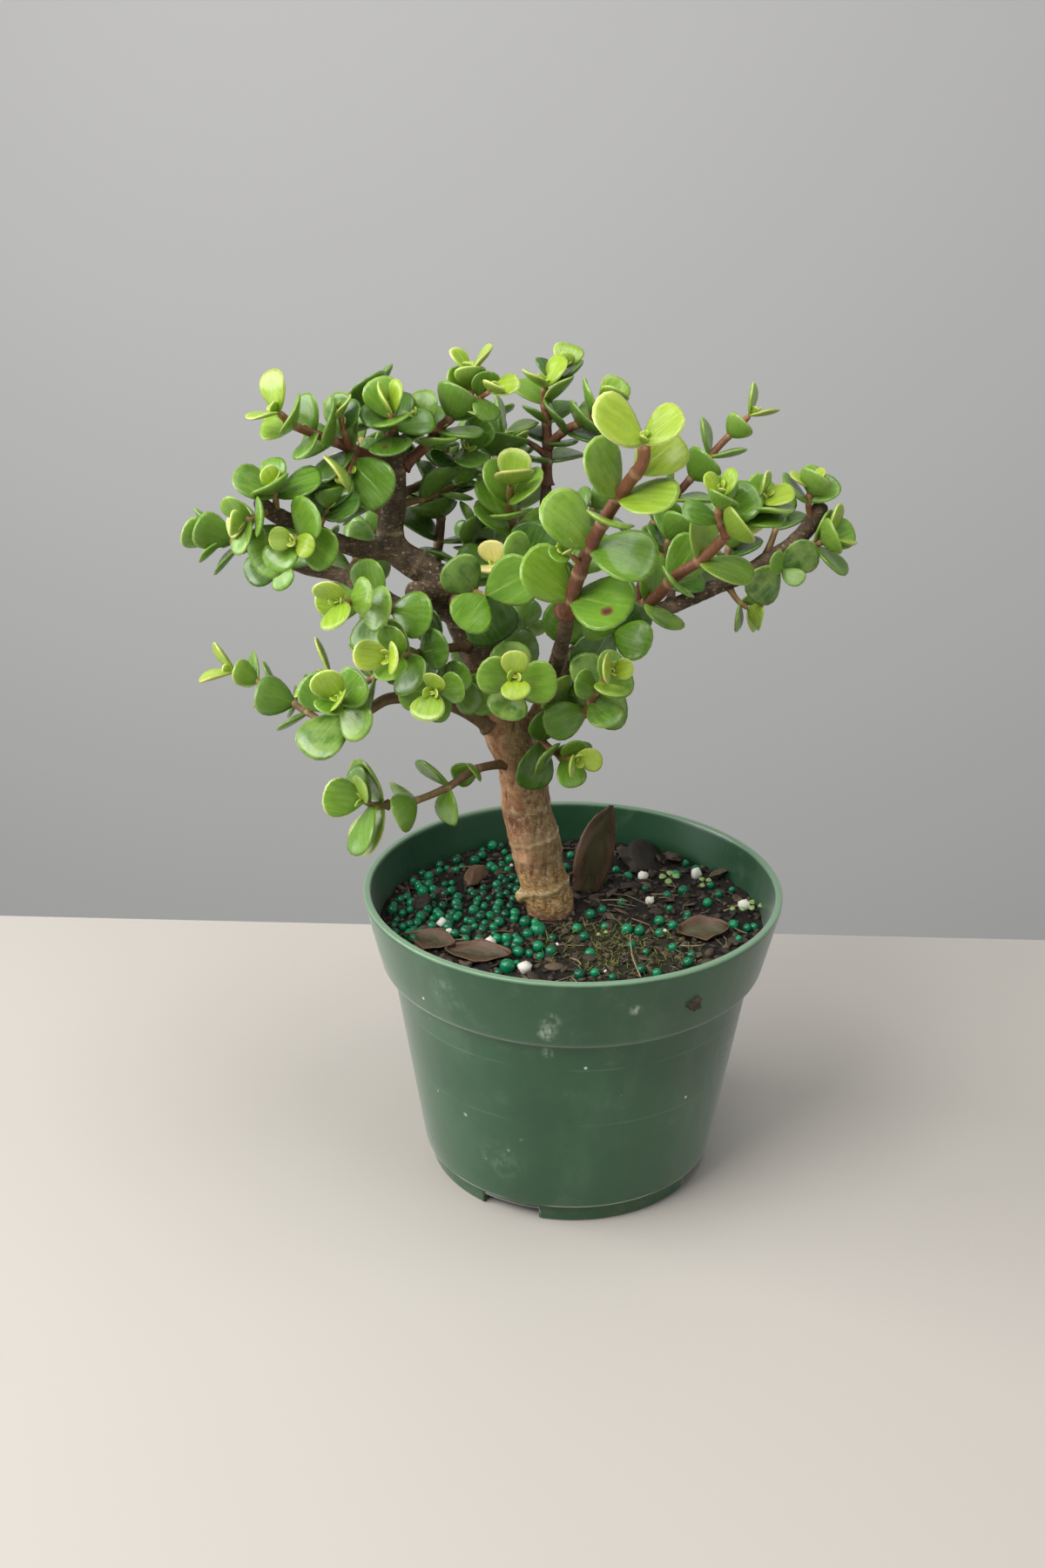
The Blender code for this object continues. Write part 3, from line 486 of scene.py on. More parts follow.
def leafAt(path, distance, radius, roll, opening, length, width):
    along = path.heading(distance)
    side = along.cross(growth["view"])
    if side.length < growth["leastSide"]:
        side = Vector((1, 0, 0)) - along * along.x
    radial = Matrix.Rotation(radians(roll), 3, along) @ side.normalized()
    blade = (along * cos(radians(opening)) + radial * sin(radians(opening))).normalized()
    face = (along - blade * along.dot(blade)).normalized()
    outwards = (path.at(distance) - growth["crownMiddle"]).normalized()
    light = outwards * growth["outwards"] + Vector((0, -growth["forwards"], growth["upwards"]))
    light -= blade * light.dot(blade)
    normal = face.lerp(light, growth["turnToLight"]).normalized()
    sunk = radius * growth["rootInStem"]
    root = path.at(distance) - radial * sunk
    return {"root": root, "along": blade, "normal": normal, "length": length + sunk, "width": width}


def growStems(name, twigs, room):
    # Gives each twig's stem as a closed shape, its path and where on the path it starts.
    stems = []
    for number, twig in enumerate(twigs):
        points = vectors(twig["route"])
        if number == 0:
            path, start = seated(points, twig["stem"], room)
        else:
            points[0] = stems[0][1].nearest(points[0])
            path, start = Path(points), 0
        shape = stemTube(path, start, twig["stem"])
        stems.append((shape, path, start))
    for shape, _, _ in stems:
        room.add(name, shape, shape)
    return stems


def growLeaves(name, twigs, stems, room):
    # Pairs stand crosswise up each twig. A leaf that would meet another is turned, raised or made smaller.
    leaves = []
    for number, (twig, (_, path, start)) in enumerate(zip(twigs, stems)):
        first = start + (path.length - start) * twig["start"]
        for pair, half in [(pair, half) for pair in range(twig["pairs"]) for half in (0, 1)]:
            if pair in twig["bare"] and half == 1:
                continue
            draw = Random(f"{name} {number} {pair} {half}")
            share = pair / max(twig["pairs"] - 1, 1)
            distance = first + (path.length - growth["lastPair"] - first) * share
            radius = between(twig["stem"], distance / path.length)
            roll = twig["roll"] + twig["turn"] * pair + 180 * half
            roll += draw.uniform(-1, 1) * growth["rollJitter"]
            opening = between(twig["open"], share) + draw.uniform(-1, 1) * growth["openJitter"]
            length = growth["size"] * between(twig["leaf"], share) * draw.uniform(*growth["length"])
            width = length * draw.uniform(*growth["width"])
            for moreRoll, moreOpening, scale in tries:
                leaf = leafAt(path, distance, radius, roll + moreRoll, opening + moreOpening,
                              length * scale, width * scale)
                whole = leafMesh(leaf, growth["clear"])
                if min(point.z for point in whole[0]) < growth["lowest"]:
                    continue
                if not room.blocked(name, whole, leafMesh(leaf, 0, growth["bladeStart"])):
                    room.add(name, leafMesh(leaf), leafMesh(leaf, 0, growth["bladeStart"]))
                    leaf.update(place=(number, pair, half), distance=distance, share=share)
                    leaves.append(leaf)
                    break
    return leaves


def woodShapes():
    step = wood["step"]
    shapes = [tube(Path(vectors(trunkRoute)), 0, trunkRadii, wood["trunkSides"], step)]
    for route, foot, end in limbs:
        shapes.append(tube(Path(vectors(route)), 0, [foot, end], wood["limbSides"], step))
    return shapes


# bloom: a whitish wax bloom, which also paints the leaves' whitish sheen.
leafColours = {
    # old: the dark green of old leaves, which on the inner and hidden sprays also paints the shade inside
    # the crown.
    "young": (0.36, 0.48, 0.035), "grown": (0.145, 0.3, 0.022), "old": (0.045, 0.125, 0.016),
    "bloom": (0.36, 0.5, 0.11), "cream": (0.76, 0.77, 0.29), "pink": (0.62, 0.28, 0.13),
    "under": (0.17, 0.3, 0.055), "brown": (0.17, 0.08, 0.03), "shade": (0.45, 0.62, 0.3),
    "faded": (0.8, 0.74, 0.28), "burnt": (0.03, 0.018, 0.01),
}


def leafPaint():
    # leafPlace: across, along, distance from the middle. leafTone: age, chance, cream edge.
    paint = Paint("leafFlesh", Subsurface_Weight=0.12, Subsurface_Scale=0.002, Specular_IOR_Level=0.38,
                  Coat_Weight=0.26, Coat_Roughness=0.14)
    paint.shader.inputs["Subsurface Radius"].default_value = (0.55, 1, 0.2)
    across, along, rim = paint.parts(paint.attribute("leafPlace", "Vector"))
    age, chance, cream = paint.parts(paint.attribute("leafTone", "Vector"))
    under, mark = paint.attribute("leafUnder"), paint.attribute("leafMark")
    colours = leafColours
    cloudy = paint.noise(190, 3, 0.6)
    streaks = paint.noise(1, 3, 0.6, at=paint.joined(across * 7, along * 2, chance * 40))
    # Some leaves get a whitish wax bloom. The bloom colour laid over them also paints the leaves' whitish
    # sheen, and streaks and the midrib get a little of it.
    waxAndSheen = paint.step(chance, 0.55, 0.97, (0.05, 0.45)) * paint.step(cloudy, 0.3, 0.65)
    middle = paint.step(abs(across), 0.045, 0.0) * paint.step(along, 0.9, 0.3)
    wavy = rim + paint.noise(300, 2) * 0.1
    edge = paint.step(wavy, 0.96, 1.06)
    wide = paint.step(wavy, 0.7, 1.04) * paint.step(cream, 0.45, 1)
    blush = edge * paint.step(chance, 0.6, 0.8) * paint.step(age, 0.3, 0)
    speck = paint.step(paint.noise(900, 2), 0.68, 0.74) * paint.step(age, 0.3, 0.9)
    aside, beyond = across - 0.25, along - 0.66  # from the middle of the brown spot
    away = aside * aside * 0.5 + beyond * beyond * 2 + cloudy * 0.025
    flesh = paint.mix(paint.step(age, 0, 0.45), colours["young"], colours["grown"])
    flesh = paint.mix(paint.step(age, 0.45, 1), flesh, colours["old"])
    flesh = paint.mix(paint.step(streaks, 0.62, 0.35) * 0.4, flesh, colours["shade"], "MULTIPLY")
    flesh = paint.mix(paint.step(along, 0.45, 0.05) * 0.35, flesh, colours["shade"], "MULTIPLY")
    flesh = paint.layered(
        flesh,
        (waxAndSheen, colours["bloom"]),
        (paint.step(streaks, 0.5, 0.75) * 0.16, colours["bloom"]),
        (middle * 0.3, colours["bloom"]),
        (under * 0.4, colours["under"]),
        (edge * paint.step(cream, 0.05, 0.75, (0.1, 0.9)), colours["cream"]),
        (wide * 0.5, colours["cream"]),
        (paint.step(cream, 1.2, 1.7) * paint.step(cloudy, 0.2, 0.5, (0.75, 1)), colours["faded"]),
        (blush * 0.6, colours["pink"]),
        (speck * 0.3, colours["brown"]),
        (paint.step(away, 0.034, 0.022) * mark, colours["brown"]),
        (paint.step(away, 0.022, 0.014) * mark * 0.7, colours["burnt"]),
    )
    gloss = paint.step(paint.noise(420, 3), 0.3, 0.75, (0.24, 0.42)) + waxAndSheen * 0.15
    relief = paint.noise(500, 3) * 0.5 + paint.step(streaks, 0.3, 0.7) * 0.5 - middle
    return paint.coat(Base_Color=flesh, Roughness=gloss, Normal=paint.bump(relief, 0.14, 0.5))


def stemPaint():
    # stemTone: distance from the tip, ring, how red.
    paint = Paint("youngStem", Specular_IOR_Level=0.35)
    fresh, ring, red = paint.parts(paint.attribute("stemTone", "Vector"))
    green = paint.mix(fresh, (0.13, 0.085, 0.035), (0.23, 0.2, 0.05))
    rusty = paint.mix(fresh, (0.14, 0.048, 0.026), (0.28, 0.11, 0.05))
    grain = paint.noise((900, 900, 260), 4, 0.65)
    skin = paint.layered(
        paint.mix(red, green, rusty),
        (paint.step(grain, 0.45, 0.75) * 0.35, (0.34, 0.2, 0.12)),
        (paint.step(grain, 0.5, 0.25) * 0.4, (0.05, 0.025, 0.012)),
        (ring * 0.65, (0.42, 0.26, 0.14)),
    )
    return paint.coat(Base_Color=skin, Roughness=paint.step(grain, 0.2, 0.8, (0.38, 0.62)),
                      Normal=paint.bump(grain, 0.15, 0.5))


def barkPaint():
    # barkTone: height share, crack, scar ring.
    paint = Paint("bark", Specular_IOR_Level=0.3)
    height, crack, ring = paint.parts(paint.attribute("barkTone", "Vector"))
    coarse = paint.noise(120, 5, 0.65)
    fine = paint.noise((520, 520, 1500), 5, 0.7)
    fibres = paint.noise((900, 900, 230), 4, 0.65)
    patches = paint.noise(55, 3, 0.6)
    x, _, z = paint.parts(paint.place())
    # Painted shade: the right side of the lower trunk is mixed towards the darker, olive dim colour.
    shaded = paint.step(x + z * 0.24 + coarse * 0.006 - 0.0181, -0.003, 0.004)
    moult = paint.step(paint.noise(300, 4, 0.7), 0.52, 0.66) * paint.step(height, 0.55, 0.3)
    dots = paint.step(paint.spots(420), 0.28, 0.1) * paint.step(patches, 0.4, 0.6)
    dim = paint.mix(paint.step(fibres, 0.4, 0.6), (0.12, 0.08, 0.03), (0.3, 0.215, 0.085))
    peeled = paint.mix(paint.step(patches, 0.4, 0.6), (0.17, 0.06, 0.035), (0.78, 0.6, 0.42))
    foot = paint.layered(
        paint.mix(paint.step(fine, 0.3, 0.7), (0.2, 0.085, 0.03), (0.62, 0.42, 0.15)),
        (paint.step(fibres, 0.48, 0.62) * 0.5, (0.2, 0.075, 0.03)),
        (paint.step(height + patches * 0.05, 0.055, 0.025) * 0.75, (0.1, 0.035, 0.022)),
    )
    lower = paint.layered(
        paint.mix(paint.step(coarse, 0.35, 0.7), (0.3, 0.135, 0.06), (0.74, 0.43, 0.23)),
        (paint.step(fibres, 0.52, 0.62) * 0.6, (0.3, 0.1, 0.05)),
        # painted shade on the trunk's right side
        (shaded * 0.8, dim),
    )
    upper = paint.mix(paint.step(coarse, 0.35, 0.7), (0.045, 0.03, 0.017), (0.13, 0.085, 0.05))
    skin = paint.layered(
        foot,
        (paint.step(height + patches * 0.1 - 0.05, 0.04, 0.15), lower),
        (paint.step(height + patches * 0.24 - 0.12, 0.4, 0.62), upper),
        (paint.step(fine, 0.52, 0.72) * 0.55, (0.56, 0.4, 0.27)),
        (paint.step(fine, 0.48, 0.28) * 0.6, (0.05, 0.024, 0.013)),
        (moult * 0.5, peeled),
        (dots * 0.5, (0.55, 0.43, 0.3)),
        (crack * 0.6, (0.032, 0.019, 0.011)),
        (paint.step(ring, 0, 1, (0, 0.4)), (0.42, 0.31, 0.17)),
        (paint.step(ring, 0.9, 1.7) * paint.step(fine, 0.35, 0.6) * 0.75, (0.66, 0.52, 0.28)),
    )
    return paint.coat(Base_Color=skin, Roughness=paint.step(fine, 0.2, 0.8, (0.6, 0.88)),
                      Normal=paint.bump(fine * 0.8 + coarse, 0.45, 0.65))


def potPaint():
    paint = Paint("potPlastic", Specular_IOR_Level=0.45, Sheen_Weight=0.35, Sheen_Roughness=0.35)
    _, _, z = paint.parts(paint.place())
    around = paint.node("ShaderNodeVectorMath", {"operation": "LENGTH"},
                        {0: paint.stretched((1, 1, 0))}, output="Value")
    cloudy = paint.noise(22, 4, 0.6)
    # Painted shade: the pot's inner wall above the soil is made darker green.
    inside = paint.step(around - z * 0.2 - 0.0512, 0.0008, -0.0008) * paint.step(z, 0.088, 0.094)
    dust = paint.step(paint.noise(60, 6, 0.75), 0.52, 0.8) * paint.step(z, 0.112, 0.02, (1, 0.45))
    bloom = paint.step(paint.noise((30, 30, 9), 4, 0.7), 0.5, 0.75)
    # Painted highlight: the top face of the rim is made paler green.
    rimTopHighlight = paint.step(z + paint.noise(90, 2) * 0.0006, 0.1091, 0.11)
    drops = paint.step(paint.spots(62), 0.05, 0.02) * paint.step(paint.noise(40, 1), 0.5, 0.56)
    scratch = paint.step(paint.noise((420, 420, 240), 5, 0.7), 0.38, 0.6)
    smear = paint.step(paint.noise(150, 2), 0.36, 0.56)
    broken = paint.step(paint.noise(45, 2), 0.35, 0.6)
    grime = paint.step(z, 0.014, 0.001) * paint.step(paint.noise(120, 4, 0.7), 0.42, 0.65)
    marks = [(paint.near(point, reach, 0.1) * scratch * smear * much, (0.42, 0.5, 0.4))
             for point, reach, much in potMarks]
    # Pale rings round the pot: mould lines, and a painted highlight along the collar's lower edge.
    lines = [(paint.step(abs(z - height * mm), 0.0005, 0.0001) * broken * much, (0.36, 0.46, 0.34))
             for height, much in potRingsAndHighlights]
    green = paint.layered(
        paint.mix(paint.step(cloudy, 0.3, 0.7), (0.015, 0.064, 0.026), (0.024, 0.088, 0.037)),
        # painted shade on the inner wall
        (inside * 0.6, (0.016, 0.062, 0.028)),
        (dust * 0.16, (0.3, 0.37, 0.27)),
        (bloom * 0.12, (0.2, 0.3, 0.2)),
        # painted highlight on the rim's top face
        (rimTopHighlight * 0.6, (0.24, 0.38, 0.24)),
        (drops * 0.85, (0.6, 0.66, 0.56)),
        *marks,
        *lines,
        (grime * 0.45, (0.1, 0.09, 0.05)),
    )
    gloss = paint.step(cloudy, 0.3, 0.7, (0.27, 0.36)) + dust * 0.2
    relief = paint.noise(900, 2) * 0.3 + paint.noise((12, 12, 160), 3) * 0.5
    return paint.coat(Base_Color=green, Roughness=gloss, Normal=paint.bump(relief, 0.08, 0.35))


def soilPaint():
    paint = Paint("pottingMix", Specular_IOR_Level=0.35)
    grains = paint.noise(520, 5, 0.7)
    lumps = paint.noise(120, 4, 0.65)
    moss = paint.near((16, -24, 96), 32, 0.2) * paint.step(paint.noise(230, 5, 0.75), 0.4, 0.6)
    earth = paint.layered(
        paint.mix(paint.step(grains, 0.35, 0.7), (0.003, 0.0026, 0.002), (0.019, 0.014, 0.0095)),
        (paint.step(lumps, 0.5, 0.75) * 0.4, (0.06, 0.043, 0.027)),
        (moss * 0.75, (0.05, 0.052, 0.016)),
    )
    return paint.coat(Base_Color=earth, Roughness=paint.step(grains, 0.2, 0.8, (0.6, 0.95)),
                      Normal=paint.bump(grains + lumps, 0.7, 0.9))


def grainPaint(name, dark, light, rough, **constants):
    # For crumbs and beads: each one's own shade comes from its grainTone.
    paint = Paint(name, **constants)
    shade = paint.attribute("grainTone")
    fine = paint.noise(900, 3, 0.6)
    skin = paint.mix(shade * 0.75 + paint.step(fine, 0.3, 0.7) * 0.25, dark, light)
    return paint.coat(Base_Color=skin, Roughness=paint.step(fine, 0.2, 0.8, rough),
                      Normal=paint.bump(fine, 0.15, 0.5))


def dryLeafPaint():
    paint = Paint("dryLeafSkin", Specular_IOR_Level=0.4)
    across, along, rim = paint.parts(paint.attribute("leafPlace", "Vector"))
    veins = paint.noise(1, 4, 0.65, at=paint.joined(across * 3, along * 9 + abs(across) * 4, 0.5))
    worn = abs(across) + paint.noise(160, 3) * 0.7
    x, _, z = paint.parts(paint.place())
    olive = paint.step(x, 0.03, 0.04) + paint.step(z, 0.1, 0.108) * paint.step(abs(across), 0.95, 0.5)
    skin = paint.layered(
        paint.mix(paint.step(worn, 0.5, 1.2), (0.05, 0.045, 0.02), (0.12, 0.062, 0.035)),
        (paint.step(paint.noise(240, 4, 0.7), 0.5, 0.7) * 0.45, (0.1, 0.075, 0.035)),
        (paint.step(veins, 0.5, 0.72) * 0.35, (0.2, 0.115, 0.065)),
        (paint.step(veins, 0.5, 0.3) * 0.5, (0.018, 0.012, 0.007)),
        (olive * paint.step(worn, 1.1, 0.5) * 0.6, (0.085, 0.078, 0.034)),
        (paint.step(rim, 0.93, 1) * 0.2, (0.24, 0.13, 0.08)),
    )
    return paint.coat(Base_Color=skin, Roughness=paint.step(veins, 0.2, 0.8, (0.35, 0.65)),
                      Normal=paint.bump(veins, 0.4, 0.8))


def weedPaint():
    paint = Paint("cloverLeaf", Subsurface_Weight=0.1, Subsurface_Scale=0.001)
    _, _, rim = paint.parts(paint.attribute("leafPlace", "Vector"))
    green = paint.mix(paint.noise(500, 2), (0.14, 0.28, 0.06), (0.3, 0.46, 0.14))
    green = paint.mix(paint.step(rim, 0.75, 1) * 0.4, green, (0.45, 0.58, 0.25))
    return paint.coat(Base_Color=green, Roughness=paint.step(rim, 0, 1, (0.45, 0.6)))


# Pieces: each is one bmesh in millimetres, finished by fill().


def meshOf(name, bm):
    mesh = bpy.data.meshes.new(name)
    bm.to_mesh(mesh)
    bm.free()
    return mesh


def placed(name, data):
    made = bpy.data.objects.new(name, data)
    bpy.context.scene.collection.objects.link(made)
    return made


def evaluated(piece):
    # The piece's mesh with its modifiers worked in.
    graph = bpy.context.evaluated_depsgraph_get()
    return bpy.data.meshes.new_from_object(piece.evaluated_get(graph))


def fill(name, bm, materials, nodes):
    for vert in bm.verts:
        vert.co *= mm
    for face in bm.faces:
        face.smooth = True
    piece = placed(name, meshOf(name, bm))
    for material in materials:
        piece.data.materials.append(material)
    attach(piece, "root")
    if nodes:
        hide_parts(*nodes)
    return piece


def facesOf(verts):
    return {face for vert in verts for face in vert.link_faces}


def wholeOf(vert):
    # Every vertex of the closed shape that this one belongs to.
    found, waiting = {vert}, [vert]
    while waiting:
        here = waiting.pop()
        for other in [edge.other_vert(here) for edge in here.link_edges]:
            if other not in found:
                found.add(other)
                waiting.append(other)
    return found


def stalk(bm, path, start, radiusAt, sides, step, tell=None):
    # A closed tube: a cone primitive, cut into rings and bent along the path.
    made = bmesh.ops.create_cone(bm, cap_ends=True, segments=sides, radius1=1, radius2=1, depth=1)
    corner = next(vert for vert in made["verts"] if vert.is_valid)
    upright = {edge for vert in wholeOf(corner) for edge in vert.link_edges
               if abs(edge.verts[0].co.z - edge.verts[1].co.z) > 0.5}
    rings = max(3, round((path.length - start) / step))
    cut = bmesh.ops.subdivide_edges(bm, edges=list(upright), cuts=rings - 1)
    verts = wholeOf(next(item for item in cut["geom"] if isinstance(item, bmesh.types.BMVert)))
    across = path.heading(start).orthogonal().normalized()
    frames = []
    for ring in range(rings + 1):
        distance = start + (path.length - start) * ring / rings
        along = path.heading(distance)
        across = (across - along * across.dot(along)).normalized()
        frames.append((distance, path.at(distance), across, along.cross(across)))
    for vert in verts:
        distance, middle, across, side = frames[round((vert.co.z + 0.5) * rings)]
        if tell:
            tell(vert, distance)
        reach = radiusAt(distance)
        vert.co = middle + (across * vert.co.x + side * vert.co.y) * reach
    return verts


leafForm = {
    "around": 20, "rings": 6, "rootPower": 0.84, "tipPower": 0.46, "middle": 0.55, "thick": 0.15,
    "leastThick": 0.9, "mostThick": 2.1, "cup": 0.1, "curlFrom": 0.3, "rimPower": 0.8,
}


def halfWidth(t):
    # Widest a little past the middle, wedge-shaped at the root and round at the tip.
    root, tip = leafForm["rootPower"], leafForm["tipPower"]
    widest = root / (root + tip)
    return t**root * (1 - t)**tip / (widest**root * (1 - widest)**tip)


def leafInto(bm, leaf, layers, tone, curl=0.0, mark=0.0):
    # A sphere primitive flattened into the leaf's outline, cupped and curled.
    around, rings = leafForm["around"], leafForm["rings"]
    made = bmesh.ops.create_uvsphere(bm, u_segments=around, v_segments=rings, radius=1)
    width, length = leaf["width"], leaf["length"]
    thick = min(max(leafForm["thick"] * length, leafForm["leastThick"]), leafForm["mostThick"]) / 2
    side = leaf["along"].cross(leaf["normal"])
    for vert in made["verts"]:
        x, y, z = vert.co
        reach = min(hypot(x, y), 1)
        t, s = leafForm["middle"], 0.0
        if reach > 0.01:
            edge = min(max((1 + y / reach) / 2, 0), 1)
            t += reach * (edge - leafForm["middle"])
            s = reach * copysign(halfWidth(edge), x) / 2
        vert[layers["place"]] = Vector((2 * s, t, reach))
        vert[layers["tone"]] = Vector(tone)
        vert[layers["under"]] = 1.0 if z < -0.3 else 0.0
        vert[layers["mark"]] = mark
        lift = leafForm["cup"] * width * (2 * s)**2 + curl * length * max(t - leafForm["curlFrom"], 0)**2
        lift += copysign(abs(z)**leafForm["rimPower"], z) * thick
        vert.co = leaf["root"] + leaf["along"] * t * length + side * s * width + leaf["normal"] * lift


def sprayMesh():
    bm = bmesh.new()
    layers = {
        "place": bm.verts.layers.float_vector.new("leafPlace"),
        "tone": bm.verts.layers.float_vector.new("leafTone"),
        "under": bm.verts.layers.float.new("leafUnder"),
        "mark": bm.verts.layers.float.new("leafMark"),
        "stem": bm.verts.layers.float_vector.new("stemTone"),
    }
    return bm, layers


stemForm = {
    "sides": 10, "step": 0.8, "flare": 0.6, "flareReach": 1.6, "knot": 0.16, "knotReach": 0.75,
    "tip": (0.45, 1), "tipReach": 1.2, "freshReach": 28,
}


def stemInto(bm, layers, twig, path, red, pairs):
    form = stemForm

    def knots(distance):
        return max((exp(-((distance - knot) / form["knotReach"])**2) for knot in pairs), default=0)

    def radiusAt(distance):
        flare = 1 + form["flare"] * exp(-distance / form["flareReach"])
        radius = between(twig["stem"], distance / path.length) * flare
        tip = max(min((path.length - distance) / form["tipReach"], 1), 0)
        return radius * (1 + form["knot"] * knots(distance)) * between(form["tip"], tip**0.5)

    def tell(vert, distance):
        fresh = 1 - min((path.length - distance) / form["freshReach"], 1)
        vert[layers["stem"]] = Vector((fresh, knots(distance), red))

    verts = stalk(bm, path, 0, radiusAt, form["sides"], form["step"], tell)
    for face in facesOf(verts):
        face.material_index = 1


budForm = {  # two small pairs at a stem's tip, each with its own size, opening and distance from the tip
    "size": (4.6, 2.8), "open": (34, 16), "set": (0.15, 0.4), "width": 0.74, "stem": 0.6, "curl": 0.1,
    "rollJitter": 14, "openJitter": 6, "sizeJitter": (0.8, 1.15), "cream": (0.3, 1),
}


def budsInto(bm, layers, name, twig, path, number):
    form = budForm
    draw = Random(f"{name} {number} bud")
    for k in range(2):
        for half in (0, 1):
            roll = twig["roll"] + twig["turn"] * (twig["pairs"] + k) + 180 * half
            roll += draw.uniform(-1, 1) * form["rollJitter"]
            length = form["size"][k] * draw.uniform(*form["sizeJitter"])
            opening = form["open"][k] + draw.uniform(-1, 1) * form["openJitter"]
            leaf = leafAt(path, path.length - form["set"][k], form["stem"], roll, opening, length,
                          length * form["width"])
            leafInto(bm, leaf, layers, (0, draw.random(), draw.uniform(*form["cream"])), form["curl"])


axilForm = {
    "share": 0.45, "length": (2.2, 4.2), "width": 0.72, "upStem": 1.3, "outwards": 1.2, "lean": 1.5,
    "curl": 0.1,
}
budding = {"front", "right", "rightTall", "topTall", "leftLong", "centreCream"}


def axilBud(bm, layers, leaf, path, draw):
    # A small new leaf in the angle between an old one and its stem.
    form = axilForm
    heading = path.heading(leaf["distance"])
    along = (leaf["along"] + heading * form["lean"]).normalized()
    normal = (leaf["normal"] - along * along.dot(leaf["normal"])).normalized()
    length = draw.uniform(*form["length"])
    root = leaf["root"] + heading * form["upStem"] + leaf["along"] * form["outwards"]
    bud = {"root": root, "along": along, "normal": normal, "length": length, "width": length * form["width"]}
    leafInto(bm, bud, layers, (0, draw.random(), draw.random()), form["curl"])


# How old a spray's leaves look at its foot and tip (0 young, 1 old), its cream edges, its red stem.
sprayLooks = {
    "front": (0.4, 0.08, 0.75, 1), "right": (0.6, 0.1, 0.7, 1), "rightTall": (0.65, 0.2, 0.5, 1),
    "leftLong": (0.75, 0.12, 0.8, 1), "topTall": (0.7, 0.08, 1, 1), "centreTop": (0.85, 0.2, 0.6, 0.9),
    "crown": (0.85, 0.05, 0.5, 0.8), "centreCream": (0.6, 0.1, 1, 0.4), "centreYellow": (0.8, 0, 1, 0.5),
    "middleFace": (0.75, 0.03, 0.9, 0.2), "lowerFace": (0.85, 0.05, 0.8, 0.2),
    "centreFace": (0.8, 0.2, 0.7, 0.2), "leftFace": (0.6, 0.12, 0.6, 0.3), "lowLeft": (0.75, 0.1, 0.8, 0.2),
    "lowest": (0.6, 0.3, 0.8, 0.2), "lowFace": (0.7, 0.05, 0.8, 0.6), "lowRight": (0.8, 0.15, 0.6, 0.7),
    "endUpper": (0.6, 0.05, 0.8, 0.4), "endLower": (0.6, 0.05, 0.8, 0.4), "farEnd": (0.6, 0.1, 0.6, 0.9),
    "farSide": (0.5, 0.1, 0.6, 0.9), "farDrop": (0.4, 0.1, 0.5, 0.5), "leftHanging": (0.6, 0.1, 0.6, 0.4),
    "backTip": (0.75, 0.4, 0.5, 0.5), "middleThin": (0.95, 0.6, 0.2, 0.6),
}
plainLook = (0.95, 0.6, 0.15, 0.4)  # inner and hidden sprays: grown leaves, no bright tips; their dark green also paints the shade inside the crown
toneForm = {  # only the last pairs stay young and pale-edged
    "ripen": 2.0, "ageJitter": 0.12, "leastCream": 0.15, "cream": (0.4, 1), "curl": (-0.14, 0.2),
}
nearest = {"from": -73, "press": 0.4}  # keeps the curled leaves in front inside the solids' box
noBuds = {
    "olive", "trunkRound", "lowRound", "rightHanging", "innerFront", "backRound", "backDark", "farRound",
}
# Single leaves, by spray, twig, pair and side: how faded they are, and how strong their brown spot is.
fadedLeaves = {("centreYellow", 0, 1, 0): 2.0, ("centreYellow", 0, 1, 1): 1.5}
leafMarks = {("crown", 0, 0, 1): 0.8, ("front", 0, 0, 0): 1, ("lowRight", 0, 1, 0): 0.5}


def dressSprays():
    room = Room()
    for shape in woodShapes():
        room.add("trunk", shape, shape)
    flesh, skin = leafPaint(), stemPaint()
    stemsOf = {name: growStems(name, twigs, room) for name, twigs in sprays.items()}
    form, total = toneForm, 0
    for name, twigs in sprays.items():
        *ages, edge, red = sprayLooks.get(name, plainLook)
        paths = [path for _, path, _ in stemsOf[name]]
        bm, layers = sprayMesh()
        leaves = growLeaves(name, twigs, stemsOf[name], room)
        for number, (twig, path) in enumerate(zip(twigs, paths)):
            pairs = sorted({leaf["distance"] for leaf in leaves if leaf["place"][0] == number})
            stemInto(bm, layers, twig, path, red, pairs)
            if name not in noBuds:
                budsInto(bm, layers, name, twig, path, number)
        for leaf in leaves:
            place = (name, *leaf["place"])
            draw = Random(f"{name} {leaf['place']} tone")
            ripe = leaf["share"]**form["ripen"]
            age = between(ages, ripe) + draw.uniform(-1, 1) * form["ageJitter"]
            cream = edge * between((form["leastCream"], 1), ripe) * draw.uniform(*form["cream"])
            tone = (max(age, 0), draw.random(), cream + fadedLeaves.get(place, 0))
            leafInto(bm, leaf, layers, tone, draw.uniform(*form["curl"]), leafMarks.get(place, 0))
            if name in budding and draw.random() < axilForm["share"]:
                axilBud(bm, layers, leaf, paths[leaf["place"][0]], draw)
        for vert in bm.verts:
            vert.co.y -= min(vert.co.y - nearest["from"], 0) * nearest["press"]
        total += len(leaves)
        fill("shoot_" + name, bm, [flesh, skin], ["spray_" + name])
    print("leafy shoots:", len(sprays), "leaves:", total)


